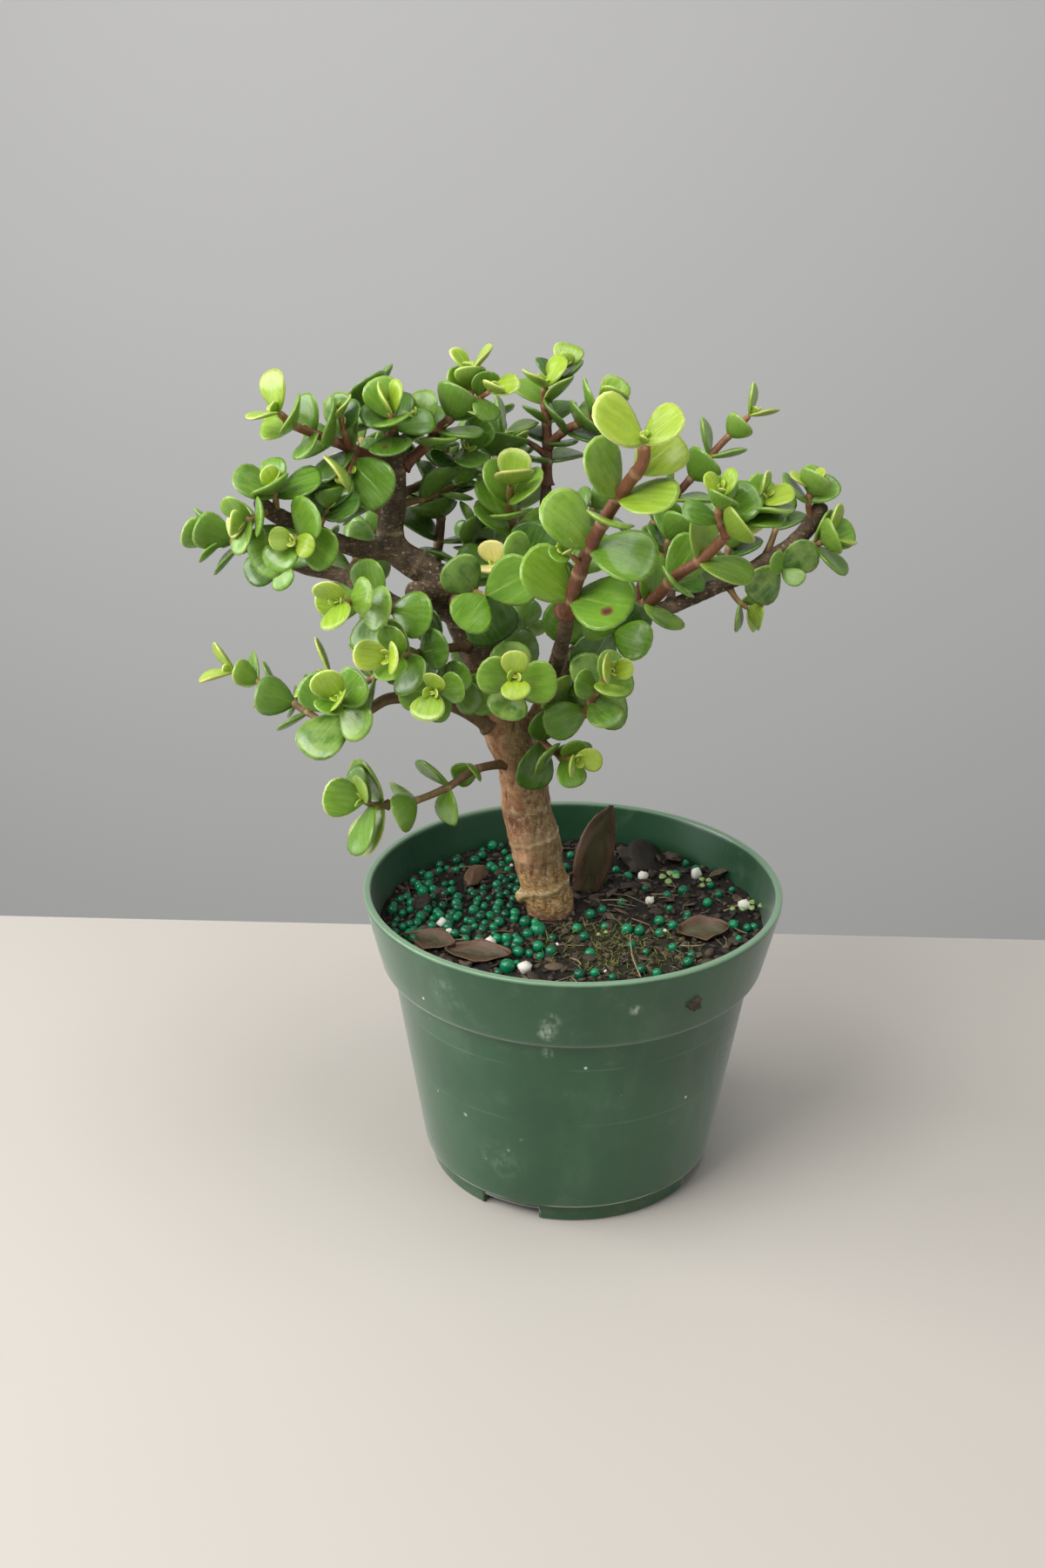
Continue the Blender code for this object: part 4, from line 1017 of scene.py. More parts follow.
barkForm = {
    "sides": 28, "limbSides": 18, "step": 1.2, "voxel": 0.75, "smooth": (2, 0.5),
    "flare": 0.35, "flareReach": 5, "tip": (0.6, 1), "tipReach": 1.5,
    "coarse": 0.34, "fine": 0.22, "crackFrom": 0.22, "crackSlope": 2.4, "fullRadius": 8,
    "knot": 0.4, "knotReach": 1.1, "firstKnot": (4, 9), "spacing": (9, 14), "lastKnot": 260,
    "level": 96, "height": 175, "footHeight": 12, "footSpread": 0.5, "scar": 0.55,
}
scars = [(126, -14, 0.27, 1.3, 1), (106.5, -10, 0.25, 1.1, 0.8)]  # height at x, slope, reach and strength
rootStub = ((-18.6, 3.8, 102), 2.5)


def wornKnots():
    # Old leaf scars ring the wood at uneven distances.
    knots = []
    for number in range(len(limbs) + 1):
        draw = Random(f"knot {number}")
        places, here = [], draw.uniform(*barkForm["firstKnot"])
        while here < barkForm["lastKnot"]:
            places.append(here)
            here += draw.uniform(*barkForm["spacing"])
        knots.append(places)
    return knots


def woodInto(bm, path, radii, isLimb):
    form = barkForm

    def radiusAt(distance):
        flare = 1 + form["flare"] * exp(-distance / form["flareReach"]) if isLimb else 1
        tip = max(min((path.length - distance) / form["tipReach"], 1), 0)
        return between(radii, distance / path.length) * flare * between(form["tip"], tip**0.5)

    stalk(bm, path, 0, radiusAt, form["limbSides"] if isLimb else form["sides"], form["step"])


def remeshed(bm, voxel):
    # One skin over all that overlaps.
    rough = placed("rough", meshOf("rough", bm))
    modifier = rough.modifiers.new("skin", "REMESH")
    modifier.mode = "VOXEL"
    modifier.voxel_size = voxel
    bm = bmesh.new()
    bm.from_mesh(evaluated(rough))
    bpy.data.objects.remove(rough, do_unlink=True)
    return bm


def dressWood():
    form = barkForm
    bm = bmesh.new()
    routes = [(trunkRoute, trunkRadii)] + [(route, [foot, end]) for route, foot, end in limbs]
    paths = [Path(vectors(route)) for route, _ in routes]
    for number, (path, (_, radii)) in enumerate(zip(paths, routes)):
        woodInto(bm, path, radii, number > 0)
    stub = bmesh.ops.create_uvsphere(bm, u_segments=12, v_segments=8, radius=rootStub[1])
    bmesh.ops.translate(bm, vec=rootStub[0], verts=stub["verts"])
    bm = remeshed(bm, form["voxel"])
    for _ in range(form["smooth"][0]):
        bmesh.ops.smooth_vert(bm, verts=bm.verts, factor=form["smooth"][1],
                              use_axis_x=True, use_axis_y=True, use_axis_z=True)
    samples = [(sample, number, length) for number, path in enumerate(paths)
               for sample, length in zip(path.samples, path.lengths)]
    tree = kdtree.KDTree(len(samples))
    for index, (sample, _, _) in enumerate(samples):
        tree.insert(sample, index)
    tree.balance()
    knots = wornKnots()
    tone = bm.verts.layers.float_vector.new("barkTone")
    bm.normal_update()
    moves = []
    for vert in bm.verts:
        spot = vert.co
        middle, index, _ = tree.find(spot)
        _, number, length = samples[index]
        scale = min((spot - middle).length / form["fullRadius"], 1)
        knot = max(exp(-((length - place) / form["knotReach"])**2) for place in knots[number])
        knot *= max(0, 0.65 + noise.noise(spot / 5))
        coarse = noise.noise(Vector((spot.x / 3.2, spot.y / 3.2, spot.z / 9)))
        fissure = noise.noise(Vector((spot.x / 1.3, spot.y / 1.3, spot.z / 6)) + Vector((9, 0, 0)))
        crack = max(0, fissure - form["crackFrom"]) * form["crackSlope"]
        lift = form["coarse"] * coarse * scale + form["knot"] * knot * between((0.4, 1), scale)
        lift -= form["fine"] * crack * scale
        ring = knot
        above = spot.z - form["level"]
        if number > 0:
            ring *= 0.5
        else:
            if above < form["footHeight"]:
                spread = min(1 - above / form["footHeight"], 1)
                lift += form["footSpread"] * spread**2 * (0.5 + noise.noise(spot / 4))
            for level, x, slope, reach, strength in scars:
                away = spot.z - level - slope * (spot.x - x) + noise.noise(spot / 3)
                scar = strength * exp(-(away / reach)**2) * (0.75 + 0.5 * noise.noise(spot / 1.6))
                lift += form["scar"] * scar
                ring += 2 * scar
        moves.append((vert, vert.normal * lift))
        vert[tone] = Vector((above / form["height"], min(crack, 1), ring))
    for vert, move in moves:
        vert.co += move
    fill("trunkAndLimbs", bm, [barkPaint()], ["trunk_and_limbs"])
    print("wood")


potForm = {
    "steps": 160, "longest": 8,
    "corners": [  # radius, height and rounding, from the underside's middle up outside and down inside
        (0, 0, 0), (52.3, 0, 1.2), (52.3, 7.3, 0.3), (54.8, 7.5, 0.5), (66.0, 80.6, 0.8), (70.0, 83.2, 1.6),
        (75.9, 108.6, 0.8), (75.8, 110, 0.6), (73.5, 110, 0.5), (73.0, 108.6, 0.6), (67.8, 84.5, 1.5),
        (64, 80.5, 1), (52.8, 9.5, 0.5), (50.2, 7.5, 0.5), (50, 2.2, 0.5), (0, 2.2, 0),
    ],
    "notches": 4, "first": -22.7, "notchWidth": 22, "notchHeight": 4.4, "notchInner": 44, "notchOuter": 58,
}
potMarks = [  # where the dust is rubbed on: a point, its reach and how strong
    ((-6.6, -71.9, 94), 5, 0.7), ((-7.4, -71.4, 89), 5, 0.75), ((21.6, -70.2, 98), 3, 0.7),
    ((-41.7, -60.2, 97), 9, 0.22), ((-7.1, -65, 78), 3, 0.7), ((-36.2, -47.6, 41), 1.2, 1),
    ((-16.3, -57.2, 38), 1.5, 0.9), ((-20.7, -54.6, 31), 1.2, 1), ((53, -26, 60), 14, 0.15),
    ((-25, -52, 25), 14, 0.12),
]
potRingsAndHighlights = [(81.8, 0.22), (70.5, 0.1), (46, 0.08), (7.9, 0.7)]  # heights of pale rings round the pot and how strong: 81.8 is a painted highlight along the collar's lower edge, 70.5 and 46 are mould lines, 7.9 is a pale line along the ridge over the foot


def roundedProfile(corners):
    # Each corner becomes a short curve that leaves and meets its two sides.
    points = []
    for k, (radius, height, soft) in enumerate(corners):
        here = Vector((radius, 0, height))
        if not soft:
            points.append(here)
            continue
        before, after = (Vector((corners[k + side][0], 0, corners[k + side][1])) for side in (-1, 1))
        first = here + (before - here).normalized() * min(soft, (before - here).length * 0.45)
        last = here + (after - here).normalized() * min(soft, (after - here).length * 0.45)
        points += [first.lerp(here, t / 4).lerp(here.lerp(last, t / 4), t / 4) for t in range(5)]
    return points


def turned(points, steps):
    bm = bmesh.new()
    verts = [bm.verts.new(point) for point in points]
    edges = [bm.edges.new(pair) for pair in zip(verts, verts[1:])]
    bmesh.ops.spin(bm, geom=verts + edges, cent=(0, 0, 0), axis=(0, 0, 1), angle=2 * pi, steps=steps,
                   use_merge=True)
    bmesh.ops.remove_doubles(bm, verts=bm.verts, dist=0.0005)
    bmesh.ops.recalc_face_normals(bm, faces=bm.faces)
    return bm


def dressPot():
    form = potForm
    points, profile = [], roundedProfile(form["corners"])
    for a, b in zip(profile, profile[1:]):
        pieces = max(1, round((b - a).length / form["longest"]))
        points += [a.lerp(b, k / pieces) for k in range(pieces)]
    points.append(profile[-1])
    pot = fill("nurseryPot", turned(points, form["steps"]), [potPaint()], ["pot"])
    bm = bmesh.new()
    below = 2  # how far the cutting blocks reach under the pot
    for k in range(form["notches"]):
        block = bmesh.ops.create_cube(bm, size=1)["verts"]
        middle = (form["notchInner"] + form["notchOuter"]) / 2
        size = (form["notchOuter"] - form["notchInner"], form["notchWidth"], form["notchHeight"] + below)
        bmesh.ops.scale(bm, vec=size, verts=block)
        bmesh.ops.translate(bm, vec=(middle, 0, form["notchHeight"] - size[2] / 2), verts=block)
        turn = radians(form["first"] - 90 + 360 / form["notches"] * k)
        bmesh.ops.rotate(bm, cent=(0, 0, 0), matrix=Matrix.Rotation(turn, 3, "Z"), verts=block)
    for vert in bm.verts:
        vert.co *= mm
    notches = placed("notches", meshOf("notches", bm))
    modifier = pot.modifiers.new("notches", "BOOLEAN")
    modifier.object = notches
    modifier.solver = "EXACT"
    pot.data = evaluated(pot)
    pot.modifiers.clear()
    bpy.data.objects.remove(notches, do_unlink=True)
    print("pot")


soilForm = {
    "steps": 200, "ring": 0.62, "edge": 70.1, "level": 95.5, "relief": 1.4, "width": 13,
    "profile": [(0, 2.6), (49.6, 2.6), (49.8, 7.8), (52.3, 9.8), (63.5, 80.6), (67.4, 84.8), (69.7, 94)],
}


def fromTrunk(x, y):
    return hypot(x - trunkFoot[0], y - trunkFoot[1])


def scattered(draw, reach, power=0.5):
    # A random place on the soil: its turn about the middle, x and y.
    turn, away = draw.uniform(0, 2 * pi), reach * draw.random()**power
    return turn, away * cos(turn), away * sin(turn)


def soilHeight(x, y):
    width = soilForm["width"]
    return soilForm["level"] + soilForm["relief"] * noise.noise(Vector((x / width, y / width, 4)))


def roughHeight(x, y):
    # The relief of the solid with clods and crumbs on it.
    spot = Vector((x, y, 0))
    near, _ = noise.voronoi(spot / 3.1)
    lumps = 0.9 * (0.45 - min(near[0], 1))
    crumbs = 0.55 * noise.noise(spot / 1.1) + 0.35 * noise.noise(spot / 0.55)
    return soilHeight(x, y) + lumps + crumbs


def dressSoil():
    form = soilForm
    count = round(form["edge"] / form["ring"])
    points = [Vector((radius, 0, height)) for radius, height in form["profile"]]
    points += [Vector((form["edge"] * (1 - k / count), 0, form["level"])) for k in range(count + 1)]
    bm = turned(points, form["steps"])
    for vert in bm.verts:
        if vert.co.z > form["level"] - 0.01:
            vert.co.z = roughHeight(vert.co.x, vert.co.y)
    fill("pottingMix", bm, [soilPaint()], ["soil"])
    print("soil")


# Prills: those that the solids have too, and then smaller ones. They lie dense left of leftOf and
# behind frontOf. apart and offLitter are shares of the two radii that they keep between them.
biggestPrills = [  # x, y and radius, in front of the trunk and on the right
    (-12, -12, 3.1), (-22, -39, 2.9), (-7, -28, 2.2), (3, -44, 2.1), (32, -1, 2.1), (48, 42, 2.4),
]
solidPrills = {
    "seed": 11, "count": 36, "radius": (1.6, 2.3), "reach": 66, "leftOf": -12, "frontOf": -66,
    "dense": 0.72, "sparse": 0.28, "offTrunk": 10.4, "apart": 1, "spacing": 0.8, "offLitter": 1,
}
morePrills = {
    "seed": 5, "count": 221, "radius": (1.3, 2.15), "reach": 68.5, "leftOf": -10, "frontOf": -34,
    "dense": 0.9, "sparse": 0.07, "offTrunk": 11.5, "apart": 0.86, "spacing": 0, "offLitter": 0.8,
}
litterClear = [(-50, -26, 9), (-33, -33, 12), (47, -11, 10), (-37, 30, 10), (8, 23, 8)]  # x, y, radius


def strewn(prills, form):
    prills, draw, reach = list(prills), Random(form["seed"]), form["reach"]
    while len(prills) < form["count"]:
        x, y = draw.uniform(-1, 1) * reach, draw.uniform(-1, 1) * reach
        radius = draw.uniform(*form["radius"])
        crowded = x < form["leftOf"] and y > form["frontOf"]
        keep = draw.random() < form["dense" if crowded else "sparse"]
        inside = hypot(x, y) < reach - radius and fromTrunk(x, y) > form["offTrunk"] + radius
        free = all(hypot(x - a, y - b) > form["apart"] * (radius + r) + form["spacing"]
                   for a, b, r in prills)
        offLitter = all(hypot(x - a, y - b) > radius + form["offLitter"] * r for a, b, r in litterClear)
        if keep and inside and free and offLitter:
            prills.append((x, y, radius))
    return prills


def lumpInto(bm, layer, centre, size, detail, rough, draw, shade):
    # A little ball, pushed out of shape, for prills, crumbs and grains alike.
    if detail:
        made = bmesh.ops.create_icosphere(bm, subdivisions=detail, radius=1)
    else:
        made = bmesh.ops.create_uvsphere(bm, u_segments=10, v_segments=6, radius=1)
    shift = Vector([draw.uniform(-50, 50) for _ in range(3)])
    turn = Matrix.Rotation(draw.uniform(0, 2 * pi), 3, "Z")
    turn = turn @ Matrix.Rotation(draw.uniform(-0.6, 0.6), 3, "X")
    for vert in made["verts"]:
        vert[layer] = shade
        grown = 1 + rough * noise.noise(vert.co * 1.4 + shift)
        vert.co = turn @ (vert.co * Vector(size)) * grown + Vector(centre)


def grainMesh():
    bm = bmesh.new()
    return bm, bm.verts.layers.float.new("grainTone")


prillForm = {"seed": 21, "raised": (0.25, 0.7), "rough": 0.07}


def dressPrills():
    form = prillForm
    bm, layer = grainMesh()
    draw = Random(form["seed"])
    for x, y, radius in strewn(strewn(biggestPrills, solidPrills), morePrills):
        z = soilHeight(x, y) + radius * draw.uniform(*form["raised"])
        lumpInto(bm, layer, (x, y, z), (radius,) * 3, 0, form["rough"], draw, draw.random())
    paint = grainPaint("prillShell", (0.0005, 0.055, 0.026), (0.003, 0.26, 0.105), (0.18, 0.38))
    fill("fertiliserPrills", bm, [paint], [])
    print("prills")


perliteForm = {"seed": 31, "sides": (0.75, 1.05), "raised": 0.55, "detail": 2, "rough": 0.5}
perliteGrains = [  # x, y and size
    (27, 34, 2.6), (29, 14, 1.9), (-16, -40, 2.8), (-29, -22, 2.4), (-47, -8, 2.1), (64, 11, 2.7),
    (47.7, 37.5, 2.5), (-44, -14, 1.6), (34, -9, 0.9), (-5, -21, 0.8), (12, -41, 0.9), (41, 23, 0.8),
    (-24, 44, 1.0),
]


def dressPerlite():
    form = perliteForm
    bm, layer = grainMesh()
    draw = Random(form["seed"])
    for x, y, size in perliteGrains:
        shape = [size * draw.uniform(*form["sides"]) for _ in range(3)]
        centre = (x, y, soilHeight(x, y) + size * form["raised"])
        lumpInto(bm, layer, centre, shape, form["detail"], form["rough"], draw, draw.random())
    paint = grainPaint("perlite", (0.62, 0.6, 0.5), (0.85, 0.84, 0.76), (0.7, 0.95))
    fill("perlite", bm, [paint], [])
    print("perlite")


crumbForm = {
    "seed": 41, "count": 1500, "reach": 69, "offTrunk": 9, "size": (0.5, 1.7), "large": (0.08, 1.5),
    "long": (0.7, 1.7), "wide": (0.5, 1), "high": (0.35, 0.8), "raised": 0.2, "rough": 0.7,
}
flakeForm = {
    "count": 230, "reach": 65, "offTrunk": 13, "size": (1.2, 3.6), "wide": (0.35, 0.7), "flat": 0.15,
    "raised": 0.5, "rough": 0.6,
}
chunks = [  # place, size and shade: a black lump behind the trunk on the right, a dark lump of bark on the left, a crumb stuck to the collar, pale bits
    ((27, 50, 97), (10, 8, 3), 0.0), ((-56, 7, 96.5), (6, 5, 2.2), 0.0),
    ((41.1, -60.4, 95.3), (2.4, 1.2, 2.2), 0.14), ((42.2, -60, 96.6), (1.5, 0.9, 1.3), 0.5),
    ((57, 39, 97.4), (5.5, 2.2, 0.9), 0.9), ((39, 52, 97.4), (4.2, 3.2, 1.2), 0.45),
    ((-26, -5, 96.4), (1.8, 1.2, 0.8), 1.0), ((-1, -7, 96.3), (2.2, 1.1, 0.8), 1.0),
]


def dressCrumbs():
    bm, layer = grainMesh()
    form, draw = crumbForm, Random(crumbForm["seed"])
    for _ in range(form["count"]):
        _, x, y = scattered(draw, form["reach"])
        if fromTrunk(x, y) < form["offTrunk"]:
            continue
        size = draw.uniform(*form["size"]) * (form["large"][1] if draw.random() < form["large"][0] else 1)
        shape = [size * draw.uniform(*form[side]) for side in ("long", "wide", "high")]
        centre = (x, y, roughHeight(x, y) + form["raised"] * size)
        lumpInto(bm, layer, centre, shape, 1, form["rough"], draw, draw.random()**3)
    for place, size, shade in chunks:
        lumpInto(bm, layer, place, size, 3, flakeForm["rough"], Random(size[0]), shade)
    form = flakeForm
    for _ in range(form["count"]):
        _, x, y = scattered(draw, crumbForm["reach"])
        if fromTrunk(x, y) < form["offTrunk"] or hypot(x, y) > form["reach"]:
            continue
        size = draw.uniform(*form["size"])
        shape = (size, size * draw.uniform(*form["wide"]), size * form["flat"])
        centre = (x, y, roughHeight(x, y) + form["raised"])
        lumpInto(bm, layer, centre, shape, 2, form["rough"], draw, draw.uniform(0.15, 1)**1.5)
    paint = grainPaint("barkCrumbs", (0.004, 0.0033, 0.0024), (0.125, 0.085, 0.05), (0.6, 0.95))
    fill("barkCrumbs", bm, [paint], [])
    print("crumbs")


strawForm = {
    "seed": 51, "count": 80, "reach": 64, "farthest": 68, "offTrunk": 13, "rise": (-0.05, 0.12),
    "length": (4, 12), "radius": (0.12, 0.32), "raised": (0.5, 1), "bend": 1, "sides": 4,
    # the long one in front: start, aim, length, radius, bend and shade
    "long": ((24, -45, 96.5), (-0.12, 0.98, 0.12), 26, 0.3, 1.2, 0.9),
}
mossForm = {
    "count": 520, "middle": (16, -24), "reach": 30, "deep": 0.75, "farthest": 65, "offTrunk": 12,
    "rise": (0.15, 0.6), "length": (1.5, 4), "radius": (0.1, 0.22), "sunk": 0.2, "bend": 0.5,
}


def sliver(bm, layer, start, aim, length, radius, bend, shade):
    start, aim = Vector(start), Vector(aim)
    side = Vector((-aim.y, aim.x, 0))
    points = [start, start + aim * length * 0.5 + side * bend, start + aim * length]
    for vert in stalk(bm, Path(points, 3), 0, lambda distance: radius, strawForm["sides"], length / 4):
        vert[layer] = shade


def dressStraw():
    # Loose fibres lie on the mix, and short mossy ones stand in a patch right of the trunk.
    form, draw = strawForm, Random(strawForm["seed"])
    bm, layer = grainMesh()
    for _ in range(form["count"]):
        turn, x, y = scattered(draw, form["reach"])
        if fromTrunk(x, y) < form["offTrunk"]:
            continue
        aim = Vector((cos(turn * 7), sin(turn * 7), draw.uniform(*form["rise"])))
        length = draw.uniform(*form["length"])
        if hypot(x + aim.x * length, y + aim.y * length) > form["farthest"]:
            continue
        start = (x, y, soilHeight(x, y) + draw.uniform(*form["raised"]))
        radius, bend = draw.uniform(*form["radius"]), draw.uniform(-1, 1) * form["bend"]
        sliver(bm, layer, start, aim, length, radius, bend, draw.random())
    sliver(bm, layer, *form["long"])
    paint = grainPaint("strawFibre", (0.05, 0.03, 0.018), (0.36, 0.27, 0.16), (0.6, 0.9))
    fill("straw", bm, [paint], [])
    form = mossForm
    bm, layer = grainMesh()
    for _ in range(form["count"]):
        _, x, y = scattered(draw, form["reach"], 0.7)
        x, y = form["middle"][0] + x, form["middle"][1] + y * form["deep"]
        if fromTrunk(x, y) < form["offTrunk"] or hypot(x, y) > form["farthest"]:
            continue
        aim = Vector((draw.uniform(-1, 1), draw.uniform(-1, 1), draw.uniform(*form["rise"]))).normalized()
        start = (x, y, soilHeight(x, y) - form["sunk"])
        length, radius = draw.uniform(*form["length"]), draw.uniform(*form["radius"])
        sliver(bm, layer, start, aim, length, radius, draw.uniform(-1, 1) * form["bend"], draw.random())
    paint = grainPaint("mossThread", (0.02, 0.024, 0.008), (0.26, 0.27, 0.06), (0.6, 0.9))
    fill("mossThreads", bm, [paint], [])
    print("straw and moss")


weeds = [  # place, number of leaves and their size
    ((37, 32), 4, 2.5), ((50, 28), 3, 1.9), ((68, 9), 3, 2.2), ((61, 6), 2, 1.8), ((11, -17), 2, 1.4),
]
weedForm = {
    "seed": 61, "turnJitter": 0.4, "height": (1.8, 3.4), "stem": 0.16, "sides": 5, "step": 0.8,
    "length": 1.15, "width": 1.1, "age": 0.1, "cream": 0.2,
}


def dressWeeds():
    form, draw = weedForm, Random(weedForm["seed"])
    bm, layers = sprayMesh()
    for (x, y), count, size in weeds:
        ground = Vector((x, y, soilHeight(x, y)))
        for k in range(count):
            turn = 2 * pi * k / count + draw.uniform(-1, 1) * form["turnJitter"]
            out = Vector((cos(turn), sin(turn), 0))
            crown = ground + out * size * 0.5 + Vector((0, 0, draw.uniform(*form["height"])))
            path = Path([ground, ground.lerp(crown, 0.5) + out * 0.3, crown], 3)
            verts = stalk(bm, path, 0, lambda distance: form["stem"], form["sides"], form["step"])
            for face in facesOf(verts):
                face.material_index = 1
            normal = (Vector((0, -0.35, 1)) + out * 0.1).normalized()
            along = (out - normal * out.dot(normal)).normalized()
            leaf = {"root": crown - along * 0.2, "along": along, "normal": normal,
                    "length": size * form["length"], "width": size * form["width"]}
            leafInto(bm, leaf, layers, (form["age"], draw.random(), form["cream"]))
    fill("clover", bm, [weedPaint(), stemPaint()], [])
    print("weeds")


dryForm = {"columns": 10, "rows": 22, "round": 0.62, "uneven": 0.1, "wave": 0.7, "above": 0.3, "thick": 0.35}
dryLeaves = {  # foot, tip, widest half, how far along it is widest, how much it curls, the side it faces
    "dry_leaf_left": ((-57, -19, 96.8), (-41, -29, 98.6), 6.0, 0.5, 0.16, (0, -0.35, 1)),
    "dry_leaf_front": ((-44, -30, 97.0), (-21, -33.5, 97.6), 5.6, 0.5, 0.2, (0, -0.3, 1)),
    "dry_leaf_right": ((38, -12, 97.2), (56.5, -9.5, 97.6), 6.6, 0.5, 0.2, (0, -0.3, 1)),
}
standing = [  # the leaf that stands behind the trunk: height, then its left and right edge
    (94.5, 0.6, 9.8), (100, -0.2, 12.4), (106, 0, 14.4), (112, 0.9, 15.3), (118, 2.8, 15.7),
    (123, 5.2, 15.6), (127, 8.2, 15.2), (131, 13.2, 14.6),
]
standingForm = {"y": 23.4, "bow": 1.3, "thick": 0.5, "rows": 30, "columns": 12, "wave": 0.6}


def leafSheet(form):
    # A grid in the plane, with its vertices' places across (-1 to 1) and along (0 to 1).
    bm = bmesh.new()
    layer = bm.verts.layers.float_vector.new("leafPlace")
    bmesh.ops.create_grid(bm, x_segments=form["columns"], y_segments=form["rows"], size=1)
    return bm, layer, [(vert, vert.co.x, (vert.co.y + 1) / 2) for vert in bm.verts]


def fillSheet(name, bm, form, paint, node):
    bmesh.ops.solidify(bm, geom=bm.faces[:], thickness=form["thick"])
    bmesh.ops.recalc_face_normals(bm, faces=bm.faces)
    fill(name, bm, [paint], [node])


def lyingLeaf(name, paint, foot, tip, half, widest, curl, facing):
    form = dryForm
    foot, tip, facing = Vector(foot), Vector(tip), Vector(facing)
    along = (tip - foot).normalized()
    normal = (facing - along * facing.dot(along)).normalized()
    across = along.cross(normal)
    seed = Vector((len(name) * 3.1, foot.x, 0))
    bm, layer, spots = leafSheet(form)
    for vert, s, t in spots:
        shape = max(min(t / widest, (1 - t) / (1 - widest)), 0)
        uneven = 1 + form["uneven"] * noise.noise(seed + Vector((s * 2, t * 5, 0)))
        width = 0 if t < 0.02 else half * shape**form["round"] * uneven
        wave = form["wave"] * noise.noise(seed + Vector((s * 1.5, t * 4, 2)))
        lift = curl * half * (s * s - 0.3) * 2 + wave
        vert[layer] = Vector((s, t, abs(s)))
        vert.co = foot + along * t * (tip - foot).length + across * s * width + normal * lift
    bmesh.ops.remove_doubles(bm, verts=bm.verts, dist=0.02)
    for vert in bm.verts:
        vert.co.z = max(vert.co.z, soilHeight(vert.co.x, vert.co.y) + form["above"])
    fillSheet(name + "_fine", bm, form, paint, name)


def standingLeaf(paint):
    form = standingForm
    bm, layer, spots = leafSheet(form)
    for vert, s, t in spots:
        height, left, right = (between(values, t) for values in zip(*standing))
        wave = form["wave"] * noise.noise(Vector((s * 1.5, t * 4, 7)))
        x = (left + right) / 2 + s * (right - left) / 2 + wave * 0.5 * (1 - t)
        y = form["y"] + form["bow"] * (s * s - 0.5) * (1 - 0.5 * t) + wave
        vert[layer] = Vector((s * 0.9, t, abs(s)))
        vert.co = Vector((x, y, height))
    fillSheet("dry_leaf_standing_fine", bm, form, paint, "dry_leaf_standing")


def dressDryLeaves():
    paint = dryLeafPaint()
    for name, settings in dryLeaves.items():
        lyingLeaf(name, paint, *settings)
    standingLeaf(paint)
    print("dry leaves")


chipForm = {
    "place": (-37, 30, 97.6), "size": (8.5, 3.6, 1.5), "detail": 4, "rough": 0.35, "seed": 8, "shade": 0.6,
    "grooves": 0.35,
}


def dressChip():
    form = chipForm
    bm, layer = grainMesh()
    lumpInto(bm, layer, form["place"], form["size"], form["detail"], form["rough"], Random(form["seed"]),
             form["shade"])
    for vert in bm.verts:
        vert.co.z += form["grooves"] * noise.noise(Vector((vert.co.x / 4, vert.co.y / 0.7, 0)))
    paint = grainPaint("chipBark", (0.06, 0.032, 0.018), (0.2, 0.11, 0.06), (0.7, 0.95))
    fill("barkChip", bm, [paint], ["bark_chip"])
    print("bark chip")


stageForm = {  # in metres; the floor ends where the photo's table does
    "reach": 3, "rough": 0.6, "edge": 0.176, "floor": (0.46, 0.43, 0.39),
    "behind": 1.35, "wall": (0.52, 0.515, 0.505),
}


def sheet(name, colour, spotOf):
    bm = bmesh.new()
    bmesh.ops.create_grid(bm, x_segments=1, y_segments=1, size=stageForm["reach"])
    for vert in bm.verts:
        vert.co = spotOf(vert.co.x, vert.co.y)
    plane = placed(name, meshOf(name, bm))
    paint = Paint(name + "Paint", Base_Color=(*colour, 1), Roughness=stageForm["rough"])
    plane.data.materials.append(paint.material)


def stage():
    form = stageForm
    sheet("floor", form["floor"], lambda x, y: (x, min(y, form["edge"]), 0))
    sheet("backdrop", form["wall"], lambda x, y: (x, form["behind"], y))


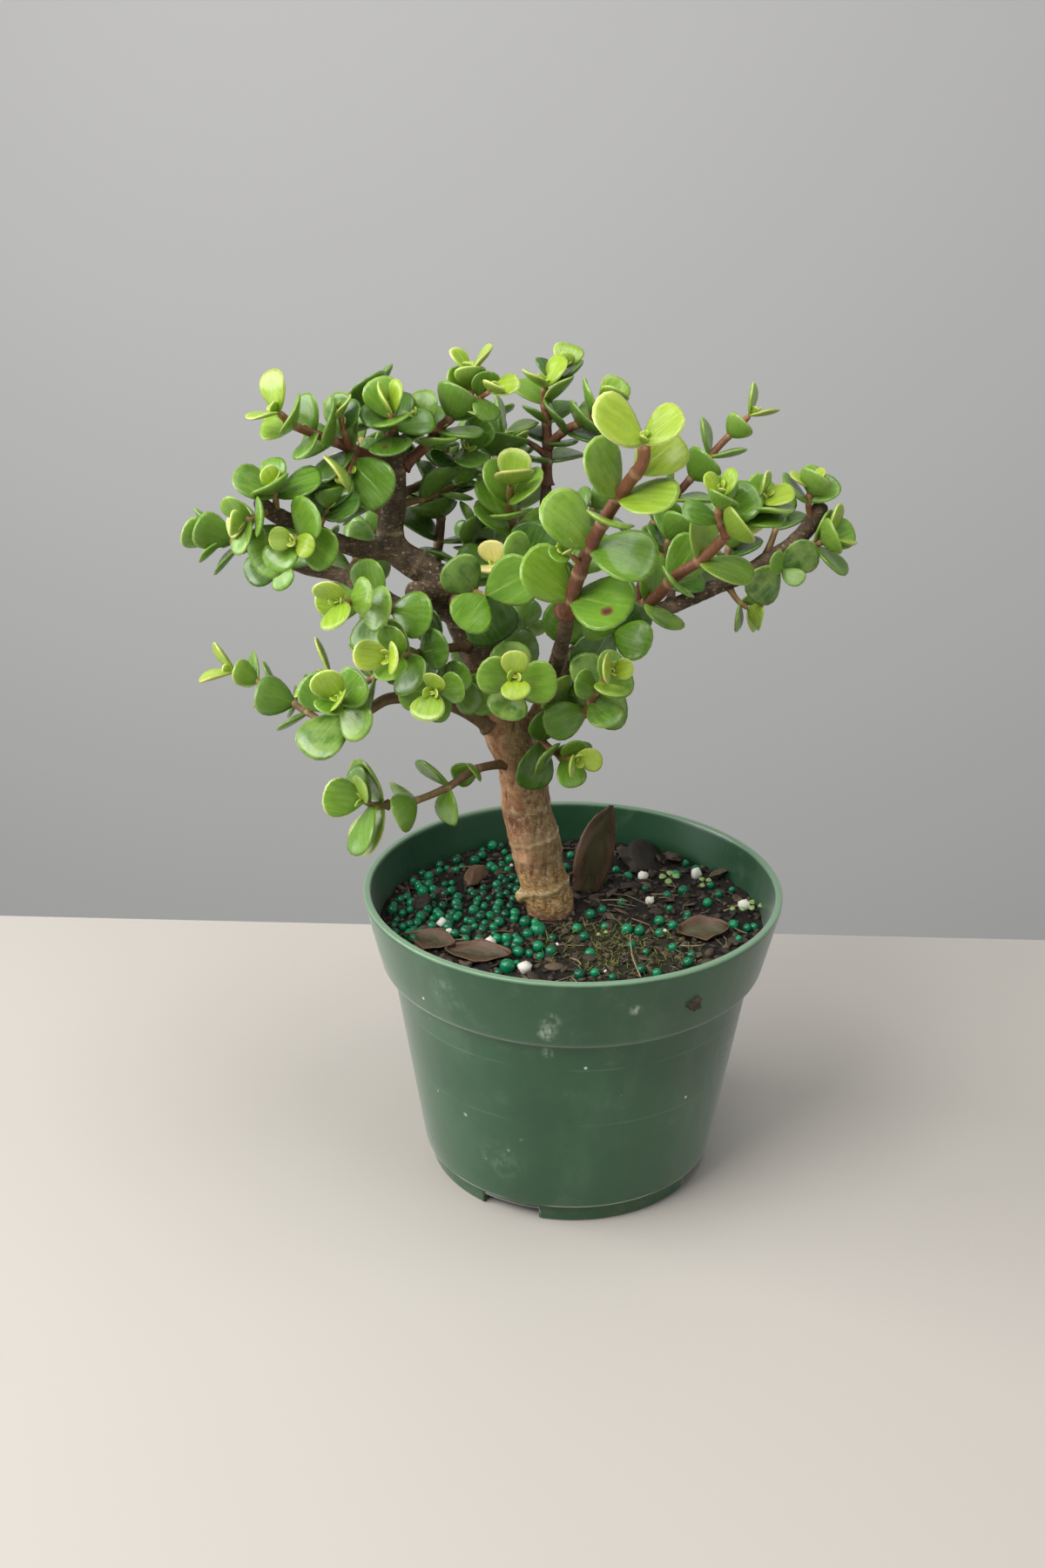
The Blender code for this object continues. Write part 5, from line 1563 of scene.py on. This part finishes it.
lamps = {  # place, size, watts and colour; each one points at the crown
    "key": ((-0.7, -0.75, 1.2), 0.7, 17.5, (1, 0.985, 0.96)),
    "side": ((-1.1, -0.05, 0.55), 0.8, 13, (1, 1, 1)),
    "fill": ((1.1, -0.9, 0.7), 1.2, 3, (0.95, 0.97, 1)),
    "top": ((0.15, -0.1, 1.4), 0.7, 7, (1, 1, 1)),
}
lampsAim = (0, 0, 0.15)
studio = {"Color": (0.86, 0.88, 0.9, 1), "Strength": 0.4}


def lights():
    for name, (place, size, watts, colour) in lamps.items():
        lamp = bpy.data.lights.new(name, "AREA")
        lamp.size, lamp.energy, lamp.color = size, watts, colour
        held = placed(name, lamp)
        held.location = place
        held.rotation_euler = (Vector(lampsAim) - Vector(place)).to_track_quat("-Z", "Y").to_euler()
    world = bpy.data.worlds.new("studio")
    world.use_nodes = True
    for socket, value in studio.items():
        world.node_tree.nodes["Background"].inputs[socket].default_value = value
    bpy.context.scene.world = world
    bpy.context.scene.view_settings.view_transform = "Standard"


view = {  # fitted to the pot's ellipses in the photo
    "place": (0, -0.5717, 0.3869), "yaw": -0.0324, "pitch": 0.3949, "roll": 0.0084, "lens": 40, "sensor": 36,
    "nearest": 0.01,
}


def camera():
    lens = bpy.data.cameras.new("camera")
    lens.lens, lens.sensor_width, lens.clip_start = view["lens"], view["sensor"], view["nearest"]
    yaw, pitch, roll = view["yaw"], view["pitch"], view["roll"]
    ahead = Vector((sin(yaw) * cos(pitch), cos(yaw) * cos(pitch), -sin(pitch)))
    right = Vector((cos(yaw), -sin(yaw), 0))
    up = right.cross(ahead)
    level, upright = right * cos(roll) + up * sin(roll), up * cos(roll) - right * sin(roll)
    held = placed("camera", lens)
    held.matrix_world = Matrix.LocRotScale(Vector(view["place"]),
                                           Matrix((level, upright, -ahead)).transposed(), None)
    bpy.context.scene.camera = held


camera()
lights()
stage()
dressPot()
dressSoil()
dressPrills()
dressPerlite()
dressCrumbs()
dressStraw()
dressWeeds()
dressDryLeaves()
dressChip()
dressWood()
dressSprays()
